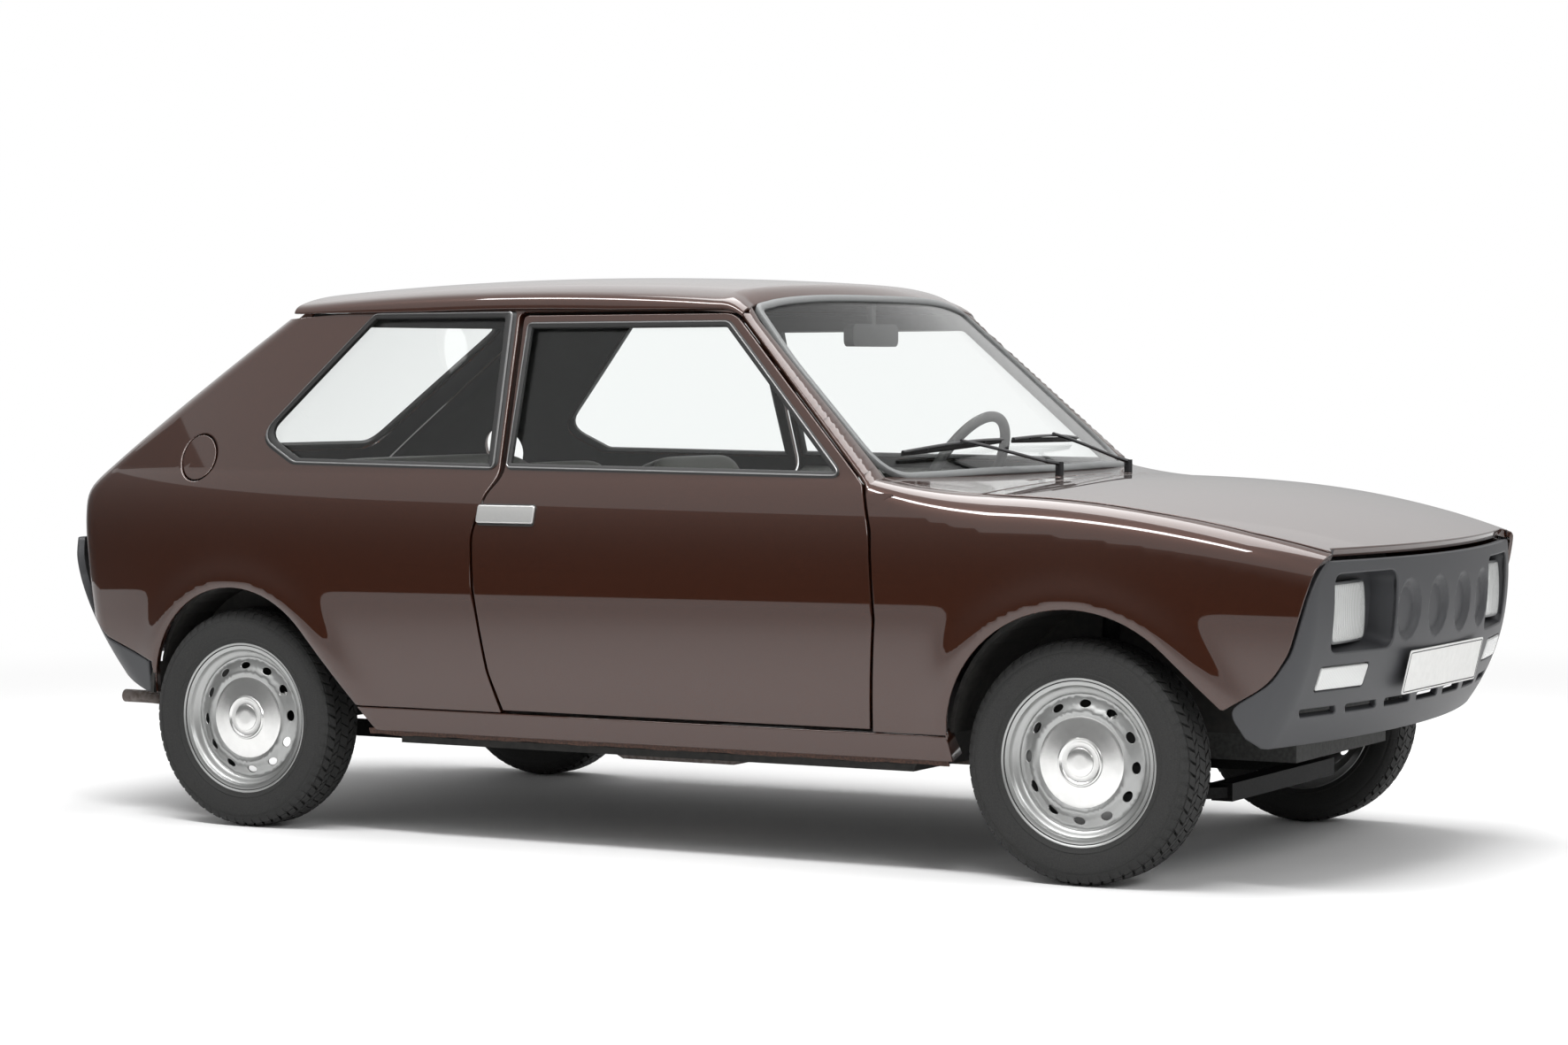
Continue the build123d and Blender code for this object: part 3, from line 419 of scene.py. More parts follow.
def across(loop, closed=True):
    """Unit vector to the left of travel at each point, lengthened at corners so that runs stay parallel."""
    ahead = np.roll(loop, -1, 0) - loop
    if not closed:
        ahead[-1] = ahead[-2]
    ahead /= np.maximum(np.linalg.norm(ahead, axis=1, keepdims=True), 1e-9)
    behind = np.roll(ahead, 1, 0)
    if not closed:
        behind[0] = ahead[0]
    normal_a = np.stack([-ahead[:, 1], ahead[:, 0]], -1)
    normal_b = np.stack([-behind[:, 1], behind[:, 0]], -1)
    mean = normal_a + normal_b
    mean /= np.maximum(np.linalg.norm(mean, axis=1, keepdims=True), 1e-9)
    stretch = np.clip(np.sum(mean * normal_a, 1, keepdims=True), 0.5, 1)
    return mean / stretch


def inside(points, loop):
    """Which points lie inside a closed loop."""
    hit = np.zeros(len(points), bool)
    a, b = loop, np.roll(loop, -1, 0)
    for (x0, y0), (x1, y1) in zip(a, b):
        crosses = (y0 > points[:, 1]) != (y1 > points[:, 1])
        x = x0 + (points[:, 1] - y0) * (x1 - x0) / (y1 - y0 + 1e-12)
        hit ^= crosses & (points[:, 0] < x)
    return hit


def near(points, loop, distance):
    """Which points lie closer to a loop than a distance."""
    close = np.zeros(len(points), bool)
    a, b = loop, np.roll(loop, -1, 0)
    for start, end in zip(a, b):
        run = end - start
        t = np.clip(((points - start) @ run) / max(run @ run, 1e-9), 0, 1)
        close |= np.linalg.norm(points - start - t[:, None] * run, axis=1) < distance
    return close


# ---- mesh makers --------------------------------------------------------------------------------
def make_object(name, points, faces, material, normals=None, sharp=32):
    """Mesh object from points in millimetres. Corner normals of None or zero are worked out by Blender."""
    mesh = bpy.data.meshes.new(name)
    mesh.from_pydata((np.asarray(points) * MM).tolist(), [], [list(map(int, face)) for face in faces])
    mesh.materials.append(material)
    mesh.shade_smooth()
    mesh.set_sharp_from_angle(angle=radians(sharp))
    if normals is not None:
        mesh.normals_split_custom_set(normals.tolist())
    made = bpy.data.objects.new(name, mesh)
    bpy.context.scene.collection.objects.link(made)
    return made


def surface_normals(surface, flat, flip):
    """Outward normals of a surface at flat points, by small steps."""
    h = 0.5
    du = surface(flat[:, 0] + h, flat[:, 1]) - surface(flat[:, 0] - h, flat[:, 1])
    dv = surface(flat[:, 0], flat[:, 1] + h) - surface(flat[:, 0], flat[:, 1] - h)
    normal = np.cross(du, dv)
    normal /= np.maximum(np.linalg.norm(normal, axis=1, keepdims=True), 1e-9)
    return -normal if flip else normal


def shell(name, outline, surface, material, holes=(), grid=14, thickness=14, edge=3, flip=False, lift=0,
          lining=None):
    """Panel of sheet on a surface: a fine outer skin, edges rolled inward, a wall and an inner skin.

    A lining is the material of the inner skin, where it isn't the outer one."""
    loops = [outline if area(outline) > 0 else outline[::-1]]
    loops += [hole if area(hole) < 0 else hole[::-1] for hole in holes]
    insets = [loop + across(loop) * edge for loop in loops]
    low, high = loops[0].min(0), loops[0].max(0)
    gx, gy = np.meshgrid(np.arange(low[0] + grid / 2, high[0], grid),
                         np.arange(low[1] + grid / 2, high[1], grid))
    inner = np.stack([gx.ravel(), gy.ravel()], -1)
    inner = inner[inside(inner, insets[0])]
    for hole in insets[1:]:
        inner = inner[~inside(inner, hole)]
    for loop in insets:
        inner = inner[~near(inner, loop, grid * 0.5)]
    rim_points = np.concatenate(insets)
    flat = np.concatenate([rim_points, inner])
    borders, first = [], 0
    for loop in insets:
        borders += [(first + i, first + (i + 1) % len(loop)) for i in range(len(loop))]
        first += len(loop)
    out_points, _, out_faces, sources, _, _ = delaunay_2d_cdt([Vector(p) for p in flat], borders, [], 0, 1e-4)
    flat = np.array([list(p) for p in out_points])
    where = {source: i for i, group in enumerate(sources) for source in group}
    triangles = np.array([face for face in out_faces if len(face) == 3])
    middle = flat[triangles].mean(1)
    keep = inside(middle, insets[0])
    for hole in insets[1:]:
        keep &= ~inside(middle, hole)
    triangles = triangles[keep]
    turn = np.cross(flat[triangles[:, 1]] - flat[triangles[:, 0]],
                    flat[triangles[:, 2]] - flat[triangles[:, 0]])
    triangles[turn < 0] = triangles[turn < 0][:, ::-1]

    normal = surface_normals(surface, flat, flip)
    points = [surface(flat[:, 0], flat[:, 1]) + normal * lift]
    inner_start = len(flat)
    points.append(points[0] - normal * thickness)
    vertex_normal = [normal, -normal]
    faces = [tuple(t) for t in triangles] + [tuple(t[::-1] + inner_start) for t in triangles]
    inner_faces = set(range(len(triangles), 2 * len(triangles)))
    total = 2 * len(flat)
    first = 0
    wall_faces = set()
    for loop, inset in zip(loops, insets):
        count = len(loop)
        rings = [np.array([where[first + i] for i in range(count)])]
        outward = surface(loop[:, 0], loop[:, 1]) - surface(inset[:, 0], inset[:, 1])
        outward /= np.maximum(np.linalg.norm(outward, axis=1, keepdims=True), 1e-9)
        for share in (1 / 3, 2 / 3, 1):
            angle = share * pi / 2
            at = inset + (loop - inset) * sin(angle)
            n = surface_normals(surface, at, flip)
            points.append(surface(at[:, 0], at[:, 1]) + n * (lift - edge * (1 - cos(angle))))
            vertex_normal.append(n * cos(angle) + outward * sin(angle))
            rings.append(np.arange(total, total + count))
            total += count
        n = surface_normals(surface, loop, flip)
        points.append(surface(loop[:, 0], loop[:, 1]) + n * (lift - thickness))
        vertex_normal.append(outward)
        rings.append(np.arange(total, total + count))
        total += count
        rings.append(rings[0] + inner_start)
        for level, (a, b) in enumerate(zip(rings, rings[1:])):
            for i in range(count):
                j = (i + 1) % count
                if level == 4:
                    wall_faces.add(len(faces))
                    inner_faces.add(len(faces))
                faces.append((a[i], b[i], b[j], a[j]))
        first += count
    points = np.concatenate(points)
    vertex_normal = np.concatenate(vertex_normal)
    if flip:
        faces = [tuple(reversed(face)) for face in faces]
    corner_normals = []
    for number, face in enumerate(faces):
        if number in wall_faces:
            corner_normals += [(0, 0, 0)] * len(face)
        else:
            corner_normals += [vertex_normal[i] for i in face]
    made = make_object(name, points, faces, material, np.array(corner_normals, float))
    if lining:
        made.data.materials.append(lining)
        for number in inner_faces:
            made.data.polygons[number].material_index = 1
    return made


def mirrored(right, name):
    """Mirror image of a right-hand piece on the left."""
    mesh = right.data.copy()
    mesh.name = name
    left = bpy.data.objects.new(name, mesh)
    bpy.context.scene.collection.objects.link(left)
    normals = np.array([tuple(n.vector) for n in mesh.corner_normals])
    count = len(mesh.polygons)
    starts = np.empty(count, int)
    totals = np.empty(count, int)
    mesh.polygons.foreach_get("loop_start", starts)
    mesh.polygons.foreach_get("loop_total", totals)
    mesh.transform(Matrix.Scale(-1, 4, (0, 1, 0)))
    mesh.flip_normals()
    flipped = normals.copy()
    for start, many in zip(starts, totals):
        order = [start] + list(range(start + many - 1, start, -1))
        flipped[start:start + many] = normals[order]
    flipped[:, 1] *= -1
    mesh.normals_split_custom_set(flipped.tolist())
    return left


def strip(name, line, surface, profile, material, closed=True, flip=False, sharp=40):
    """Trim with a constant section along a line on a surface. The section is (across, proud) pairs."""
    side_way = across(line, closed)
    rings = []
    for out, proud in profile:
        at = line + side_way * out
        n = surface_normals(surface, at, flip)
        rings.append(surface(at[:, 0], at[:, 1]) + n * proud)
    points = np.concatenate(rings)
    count, around = len(line), len(profile)
    faces = []
    for k in range(around):
        nxt = (k + 1) % around
        for i in range(count if closed else count - 1):
            j = (i + 1) % count
            faces.append((k * count + i, k * count + j, nxt * count + j, nxt * count + i))
    if not closed:
        faces.append(tuple(k * count for k in range(around)))
        faces.append(tuple(k * count + count - 1 for k in reversed(range(around))))
    made = make_object(name, points, faces, material, sharp=sharp)
    outward(made)
    return made


def outward(made):
    """Turn a closed mesh's faces outward."""
    net = bmesh.new()
    net.from_mesh(made.data)
    bmesh.ops.recalc_face_normals(net, faces=net.faces)
    net.to_mesh(made.data)
    net.free()


def joined(name, pieces):
    """One object from several."""
    bpy.ops.object.select_all(action="DESELECT")
    for piece in pieces:
        piece.select_set(True)
    bpy.context.view_layer.objects.active = pieces[0]
    bpy.ops.object.join()
    pieces[0].name = name
    pieces[0].data.name = name
    return pieces[0]


def finish_piece(made, body, slot, *nodes):
    """Ride on a body and stand for CAD nodes; the slot is not used."""
    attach(made, body)
    if nodes:
        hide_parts(*nodes)
    return made


# ---- materials ----------------------------------------------------------------------------------
def new_material(name, colour, roughness, metallic=0.0):
    """Principled material with its node tools."""
    material = bpy.data.materials.new(name)
    material.use_nodes = True
    nodes, links = material.node_tree.nodes, material.node_tree.links
    shader = nodes["Principled BSDF"]
    shader.inputs["Base Color"].default_value = (*colour, 1)
    shader.inputs["Roughness"].default_value = roughness
    shader.inputs["Metallic"].default_value = metallic
    return material, nodes, links, shader


def noise_between(nodes, links, scale, low, high, detail=3.0, value_low=0.35, value_high=0.65):
    """Colour that wanders between two tones with the object's own coordinates."""
    place = nodes.new("ShaderNodeTexCoord")
    noise = nodes.new("ShaderNodeTexNoise")
    noise.inputs["Scale"].default_value = scale
    noise.inputs["Detail"].default_value = detail
    ramp = nodes.new("ShaderNodeValToRGB")
    ramp.color_ramp.elements[0].position = value_low
    ramp.color_ramp.elements[1].position = value_high
    ramp.color_ramp.elements[0].color = (*low, 1)
    ramp.color_ramp.elements[1].color = (*high, 1)
    links.new(place.outputs["Object"], noise.inputs["Vector"])
    links.new(noise.outputs["Fac"], ramp.inputs["Fac"])
    return noise, ramp


def bump(nodes, links, shader, source, strength, distance):
    made = nodes.new("ShaderNodeBump")
    made.inputs["Strength"].default_value = strength
    made.inputs["Distance"].default_value = distance
    links.new(source, made.inputs["Height"])
    links.new(made.outputs["Normal"], shader.inputs["Normal"])


def paint():
    """Metallic brown under clear coat: fine flakes, which also give the base layer a fine bump."""
    material, nodes, links, shader = new_material("brown paint", (0.031, 0.0078, 0.0026), 0.34, 0.35)
    flakes, tones = noise_between(nodes, links, 2600, (0.025, 0.0061, 0.0019), (0.043, 0.0112, 0.0041), 1.0,
                                  0.4, 0.6)
    shader.inputs["Specular IOR Level"].default_value = 0.12
    links.new(tones.outputs["Color"], shader.inputs["Base Color"])
    shader.inputs["Coat Weight"].default_value = 1.0
    shader.inputs["Coat Roughness"].default_value = 0.025
    shader.inputs["Coat IOR"].default_value = 1.6
    bump(nodes, links, shader, flakes.outputs["Fac"], 0.05, 0.0002)
    return material


def grained(name, dark, light, roughness, scale=900, strength=0.25, depth=0.0003):
    """Moulded plastic with a fine grain."""
    material, nodes, links, shader = new_material(name, dark, roughness)
    noise, tones = noise_between(nodes, links, scale, dark, light, 4.0)
    links.new(tones.outputs["Color"], shader.inputs["Base Color"])
    bump(nodes, links, shader, noise.outputs["Fac"], strength, depth)
    return material


def glass(name, colour, tint, roughness=0.0):
    """Thin clear glass: a see-through layer under a mirror-like gloss."""
    material, nodes, links, shader = new_material(name, colour, roughness)
    shader.inputs["Transmission Weight"].default_value = 1.0
    shader.inputs["IOR"].default_value = 1.12
    shader.inputs["Alpha"].default_value = tint
    shader.inputs["Coat Weight"].default_value = 0.3
    shader.inputs["Coat Roughness"].default_value = 0.01
    return material


def metal(name, colour, roughness, scale=300, spread=0.15):
    material, nodes, links, shader = new_material(name, colour, roughness, 1.0)
    dark = tuple(c * (1 - spread) for c in colour)
    noise, tones = noise_between(nodes, links, scale, dark, colour, 2.0)
    links.new(tones.outputs["Color"], shader.inputs["Base Color"])
    bump(nodes, links, shader, noise.outputs["Fac"], 0.04, 0.0001)
    return material


brown = paint()
dark_plastic = grained("dark grey plastic", (0.030, 0.031, 0.034), (0.043, 0.044, 0.048), 0.48, 1500, 0.2,
                       0.0002)
rubber = grained("black rubber", (0.008, 0.008, 0.008), (0.016, 0.016, 0.016), 0.55, 700)
screen_rubber = grained("grey rubber", (0.11, 0.115, 0.115), (0.17, 0.175, 0.175), 0.5, 700)
cabin_plastic = grained("cabin plastic", (0.018, 0.019, 0.019), (0.028, 0.029, 0.028), 0.6, 1200)
clear_glass = glass("clear glass", (0.97, 0.985, 0.98), 1.0)
underbody = grained("underbody coating", (0.009, 0.009, 0.008), (0.020, 0.018, 0.016), 0.75, 60, 0.4, 0.001)


# ---- outlines of the openings --------------------------------------------------------------------
hood_edge = np.array([(-700, 640), (-155, 676), (157, 664), (385, 628), (570, 570), (640, 560)], float)
hood_edge[:, 0] += front_axle
pillar_lean = 1.04


def hood_half(x):
    return np.interp(x, hood_edge[:, 0], hood_edge[:, 1])


def well_line(arch, foot, low):
    """Edge of a wheel opening in side view, from the rear foot over the top to the front foot."""
    axle, lift, radius, lead = arch
    points = [(axle - radius, foot)]
    points += [(axle + radius * cos(a), lift + radius * sin(a)) for a in np.linspace(pi, lead, 30)]
    points.append((axle + (radius - (low - lift) * sin(lead)) / cos(lead), low))
    return points


def pillar_x(z, back=0):
    """Leading edge of the door above the belt."""
    return door_front_x - 40 - back - pillar_lean * (z - 856)


def door_line(g=0):
    """Right door in side view, grown by a clearance."""
    return [
        (door_front_x - 16 + g, door_low - g),
        (door_front_x + 4 + g, 562, 300),
        (door_front_x - 10 + g, 755, 300),
        (door_front_x - 40 + g, 856, 25),
        (pillar_x(door_top, -1.4 * g), door_top + g, 60),
        (door_rear_x + 42 - 1.8 * g, door_top + g, 14),
        (door_rear_x + 64 - 1.8 * g, belt_height - 6, 60),
        (door_rear_x + 27 - g, 817, 90),
        (door_rear_x - g, 725, 120),
        (door_rear_x + 5 - g, 602, 200),
        (door_rear_x + 37 - g, 407, 200),
        (door_rear_x + 68 - g, door_low - g),
    ]


def window_line(grow=0):
    low = belt_height + 12 - grow
    high = door_top - 22 + grow
    return [
        (pillar_x(low - 10, 38 - 1.4 * grow), low - 10, 12),
        (pillar_x(high, 34 - 1.4 * grow), high, 30),
        (door_rear_x + 62 - grow, high, 12),
        (door_rear_x + 72 - grow, low, 12),
    ]


def quarter_line(g=0):
    return [
        (door_rear_x + 34 + g, belt_height + 10 - g, 12),
        (door_rear_x + 10 + g, door_top + 4 + g, 12),
        (rear_axle + 323 - 0.6 * g, door_top + 4 + g, 22),
        (rear_axle + 42 - 1.2 * g, belt_height + 78, 40),
        (rear_axle + 160 - 0.5 * g, belt_height + 18 - g, 45),
    ]


def on_tail(points):
    """Side-view points in the tail surface's own coordinates."""
    points = np.asarray(points, float)
    return np.stack([tail_u(points[:, 0], points[:, 1]), points[:, 1]], -1)


def tail_across(y, z):
    """Distance from the centreline, along the back, of points at a half width."""
    u = np.linspace(0, 760, 761)
    return np.array([np.interp(a, -tail(u, np.full_like(u, b))[:, 1], u) for a, b in zip(y, z)])


# ---- front wings --------------------------------------------------------------------------------
fascia_seam = [(530, 720), (500, 624), (469, 513), (430, 448), (337, 391)]


def wing_outline():
    """Right front wing, in station and distance up and over the shoulder."""
    seam = [(front_axle + x - 2, z) for x, z in fascia_seam]
    arch = well_line(arches[0], sill_seam + 1, fascia_seam[-1][1])
    back = [(x, z) for x, z, *_ in door_line(gap)[:4]]
    points = [back[3], back[2], back[1], (back[0][0], sill_seam + 1)] + arch
    points = dense(points, 10, False).tolist()
    points += rounded([(x, z, 160) for x, z in seam[::-1]], 8, False).tolist()
    xs = np.linspace(seam[0][0] + 4, back[3][0] + 2, 100)
    points += np.stack([xs, shoulder_v(xs, hood_half(xs))], -1).tolist()
    return np.array(points)


wing_right = shell("wing_right", dense(wing_outline(), 12), wing, brown, grid=12, thickness=14, edge=2.5)
finish_piece(wing_right, "body", "body_paint", "front_fender_right")
wing_left = mirrored(wing_right, "wing_left")
finish_piece(wing_left, "body", "body_paint", "front_fender_left")

# ---- doors --------------------------------------------------------------------------------------
door_outline = rounded(door_line(), 12)
window = rounded(window_line(), 12)
door_skin = shell("door_skin_right", door_outline, side, brown, [window], grid=13, thickness=18, edge=3,
                  lining=cabin_plastic)
trim_line = [(x, min(z, belt_height - 8)) for x, z, *_ in door_line(-9)]
trim_line = [p for i, p in enumerate(trim_line) if i not in (4, 5)]
cabin_vinyl = grained("cabin vinyl", (0.050, 0.052, 0.046), (0.072, 0.075, 0.066), 0.55, 500)
door_trim = shell("door_trim_right", rounded(trim_line, 12), side, cabin_vinyl, grid=30, thickness=38,
                  edge=6, lift=-19)
door_pane = shell("door_pane_right", rounded(window_line(5), 12), side, clear_glass, grid=30, thickness=4,
                  edge=1, lift=-12)
seal_section = [(9, -6), (9, 3), (5, 5), (-1, 5), (-3, 2), (-7, -1), (-10, -9), (-4, -12), (4, -12)]
bead_section = [(1.5, 4), (1.5, 6.2), (0, 7), (-1.5, 6.2), (-1.5, 4)]
window_seal = strip("window_seal_right", window, side, seal_section, rubber)
bead_material = metal("seal bead", (0.28, 0.28, 0.28), 0.3)
window_bead = strip("window_bead_right", rounded(window_line(1), 12), side, bead_section, bead_material)

# folded edge of the body behind the shut line, with its rubber
flange_outline = rounded(door_line(4), 12)
flange_outline = flange_outline if area(flange_outline) > 0 else flange_outline[::-1]
door_flange = strip("door_flange_right", flange_outline, side, [(2, -25), (2, -30), (-14, -30), (-14, -25)],
                    rubber)
finish_piece(mirrored(door_flange, "door_flange_left"), "body", "cabin_plastic")
finish_piece(door_flange, "body", "cabin_plastic")

# flap door handle: a metal plate set in a shallow black cup
handle_line = [(door_rear_x + 12, 753, 7), (door_rear_x + 14, 794, 7), (door_rear_x + 172, 794, 7),
               (door_rear_x + 170, 753, 7)]
cup = shell("handle_cup_right", rounded([(x, z + (4 if z > 770 else -5), 9) for x, z, _ in handle_line], 8),
            side, rubber,
            grid=20, thickness=6, edge=2, lift=2)
handle_metal = metal("handle metal", (0.60, 0.60, 0.59), 0.48, 900)
handle = shell("handle_right", rounded(handle_line, 8), side, handle_metal, grid=12, thickness=7, edge=3.5,
               lift=9)

for piece, slot, replaced in (
    (door_skin, "body_paint", "door"),
    (door_trim, "seat_vinyl", None),
    (door_pane, "clear_glass", "door_glass"),
    (window_seal, "cabin_plastic", None),
    (window_bead, "chassis_steel", None),
    (cup, "cabin_plastic", None),
    (handle, "chassis_steel", None),
):
    other = mirrored(piece, piece.name.replace("right", "left"))
    finish_piece(piece, "door_right", slot, *([replaced + "_right"] if replaced else []))
    finish_piece(other, "door_left", slot, *([replaced + "_left"] if replaced else []))

# ---- body side ----------------------------------------------------------------------------------
seam_bumper = [(-562, 596), (-498, 488), (-445, 446), (-281, 392)]
screen_side = [(652, 842), (644, glass_low - 8), (606, 1003), (576, 1129), (552, 1218), (526, 1262)]


def screen_half(z):
    """Half width of the windscreen opening at a height."""
    return np.interp(z, [z for _, z in screen_side], [y for y, _ in screen_side])


def pillar_front(z):
    """Station where the pillar's side turns in towards the windscreen."""
    return windscreen_x(screen_half(z), z) - 26


pillar_turn = 78


def body_side(u, v):
    """The tail surface, with the windscreen pillar's front face turned in to meet the glass."""
    out = tail(u, v)
    x = out[:, 0]
    start_x = pillar_front(v)
    over = (v > 835) & (x > start_x)
    share = np.clip((x - start_x) / pillar_turn, 0, 1)
    start = np.stack([start_x, half_width(start_x, v), v], -1)
    end = np.stack([windscreen_x(screen_half(v), v) + 2, screen_half(v) + 2, v], -1)
    corner = np.stack([end[:, 0] + 6, half_width(start_x, v) - 6, v], -1)
    turned = bezier(share, start, corner, end)
    turned[:, 1] *= -1
    out[over] = turned[over]
    return out


def body_side_outline():
    z = np.linspace(842, roof_edge - 4, 40)
    front_edge = np.stack([pillar_front(z) + pillar_turn, z], -1)
    x = np.linspace(front_edge[-1, 0] - 12, roof_rear_x - 14, 60)
    top = np.stack([x, roof_top(x, 590) - 22], -1)
    top[:, 1] = np.minimum(top[:, 1], roof_edge - 2)
    on_side = np.concatenate([front_edge, top])
    points = on_tail(on_side).tolist()
    z = np.array([roof_edge - 25, roof_edge - 40, 1100, 1000, 930, tailgate_low + 42, tailgate_low, 598])
    y = np.array([512, 512, 534, 552, 565, 582, 567, 563])
    z, y = dense(np.stack([z, y], -1), 12, False).T
    points += np.stack([tail_across(y, z), z], -1).tolist()
    lower = [(rear_axle + x, z, 60) for x, z in seam_bumper]
    lower = rounded(lower, 10, False)
    arch = well_line(arches[1], 392, sill_seam + 1)
    door = [(x, z) for x, z, *_ in door_line(gap)]
    low_side = np.concatenate([lower, dense(arch[1:], 10, False)])
    low_side = np.concatenate([low_side, dense([arch[-1], (door[-1][0], sill_seam + 1)], 12, False)])
    door_edge = rounded([(*p, *c[2:]) for p, c in zip(door, door_line(gap))][::-1], 12, False)
    door_edge = door_edge[1:]
    keep = door_edge[:, 0] < door_front_x - 10
    door_edge = door_edge[keep | (door_edge[:, 1] > 850)]
    points += on_tail(low_side).tolist() + on_tail(door_edge).tolist()
    out = [points[0]]
    for p in points[1:]:
        if np.hypot(p[0] - out[-1][0], p[1] - out[-1][1]) > 2:
            out.append(p)
    return dense(out, 12)


flap_x = rear_axle - 148
flap_z = 896
flap_radius = 54
turn_steps = np.linspace(0, 2 * pi, 64, endpoint=False)


def circle(x, z, radius):
    return np.stack([x + radius * np.cos(turn_steps), z + radius * np.sin(turn_steps)], -1)


quarter = on_tail(rounded(quarter_line(), 12))
flap_hole = on_tail(circle(flap_x, flap_z, flap_radius + 3.2))
side_skin = shell("body_side_skin_right", body_side_outline(), body_side, brown, [quarter, flap_hole],
                  grid=13, thickness=18, edge=3,
                  lining=cabin_plastic)
quarter_pane = shell("quarter_pane_right", on_tail(rounded(quarter_line(5), 12)), tail, clear_glass,
                     grid=30, thickness=4, edge=1, lift=-12)
quarter_seal = strip("quarter_seal_right", quarter, tail, seal_section, rubber)
quarter_bead = strip("quarter_bead_right", on_tail(rounded(quarter_line(1), 12)), tail, bead_section,
                     bead_material)
flap = shell("fuel_flap_skin", on_tail(circle(flap_x, flap_z, flap_radius)), tail, brown, grid=12,
             thickness=4, edge=1.5)
finish_piece(flap, "fuel_flap", "body_paint", "fuel_flap")
flap_cup = shell("fuel_flap_cup", on_tail(circle(flap_x, flap_z, flap_radius + 5)), tail, rubber, grid=12,
                 thickness=4, edge=1, lift=-19)
finish_piece(flap_cup, "body", "cabin_plastic")

for piece, slot, replaced in (
    (side_skin, "body_paint", ("body_side_right",)),
    (quarter_pane, "clear_glass", ("quarter_glass",)),
    (quarter_seal, "cabin_plastic", ()),
    (quarter_bead, "chassis_steel", ()),
):
    other = mirrored(piece, piece.name.replace("right", "left"))
    finish_piece(piece, "body", slot, *replaced)
    finish_piece(other, "body", slot, *(("body_side_left",) if replaced == ("body_side_right",) else ()))

# ---- sills --------------------------------------------------------------------------------------
sill_line = dense([(rear_axle + 356, sill_seam - 1), (rear_axle + 404, sill_bottom + 2),
                   (front_axle - 289, sill_bottom + 2),
                   (front_axle - 297, sill_seam - 1)], 20)
sill = shell("sill_skin_right", sill_line, side, brown, grid=24, thickness=60, edge=3)
rusty = grained("rusty flange", (0.020, 0.010, 0.007), (0.075, 0.034, 0.022), 0.85, 220, 0.9, 0.0012)
flange_x = np.linspace(rear_axle + 380, front_axle - 300, 120)
flange_line = np.stack([flange_x, sill_bottom - 2 + 1.5 * np.sin(flange_x / 23) * np.sin(flange_x / 57)], -1)
flange = strip("sill_flange_right", flange_line, side, [(7, -9), (7, -5), (-7, -6), (-7, -9)], rusty,
               closed=False)
for piece, slot, replaced in ((sill, "body_paint", ("sills",)), (flange, "underbody", ())):
    other = mirrored(piece, piece.name.replace("right", "left"))
    finish_piece(piece, "body", slot, *replaced)
    finish_piece(other, "body", slot)

# ---- roof ---------------------------------------------------------------------------------------
rim_y = np.linspace(0, 560, 41)
rim_half = float(roof_side(roof_rim_x(np.array([560.0])))[0]) - 22 + roof_turn
rim_front = np.concatenate([np.stack([roof_rim_x(rim_y), rim_y], -1), [(roof_rim_x(560.0) - 3, rim_half)]])
rim_x = np.linspace(roof_rim_x(560.0) - 20, roof_rear_x + 1, 50)
rim_side = np.stack([rim_x, roof_side(rim_x) - 22 + roof_turn], -1)
rim_right = np.concatenate([rim_front, rim_side])
roof_line = dense(np.concatenate([rim_right, (rim_right * (1, -1))[:0:-1]]), 12)
roof_skin = shell("roof_skin", roof_line, roof, brown, grid=14, thickness=12, edge=3, lining=cabin_plastic)
finish_piece(roof_skin, "body", "body_paint", "roof")
headliner = grained("headliner", (0.10, 0.10, 0.095), (0.15, 0.15, 0.14), 0.9, 260)
lining_x = roof_rim_x(0.0) - 75
lining_line = dense([(lining_x, -540), (lining_x, 540), (roof_rear_x + 40, 540), (roof_rear_x + 40, -540)],
                    40)
lining = shell("roof_lining", lining_line, roof, headliner, grid=50, thickness=4, edge=1, lift=-20)
finish_piece(lining, "body", "seat_vinyl")

# ---- hood and cowl ------------------------------------------------------------------------------
def hood_outline():
    xs = np.linspace(hood_rear_x + 1, front_x - 62, 60)
    right = np.stack([xs, -hood_half(xs) + gap], -1)
    tip_y = np.linspace(-552, 552, 41)
    tip = np.stack([nose_x(tip_y, 655) - 14, tip_y], -1)
    return dense(np.concatenate([right, tip, (right * (1, -1))[::-1]]), 14)


hood_skin = shell("hood_skin", hood_outline(), hood, brown, grid=14, thickness=18, edge=3.5)
finish_piece(hood_skin, "hood", "body_paint", "hood")
cowl_y = np.linspace(640, -640, 41)
cowl_back = np.stack([windscreen_x(cowl_y, glass_low + 4), cowl_y], -1)
cowl_x = np.linspace(cowl_back[-1, 0], hood_rear_x - gap, 14)
cowl_side = np.stack([cowl_x, -hood_half(cowl_x) + 1], -1)
cowl_line = dense(np.concatenate([cowl_back, cowl_side, (cowl_side * (1, -1))[::-1]]), 12)
slots = []
for y in np.arange(-300, 301, 100):
    slots.append(rounded([(hood_rear_x - 64, y - 34, 5), (hood_rear_x - 52, y - 34, 5),
                          (hood_rear_x - 52, y + 34, 5), (hood_rear_x - 64, y + 34, 5)], 8))
cowl_skin = shell("cowl_skin", cowl_line, hood, brown, slots, grid=14, thickness=14, edge=2.5)
finish_piece(cowl_skin, "body", "body_paint", "cowl")

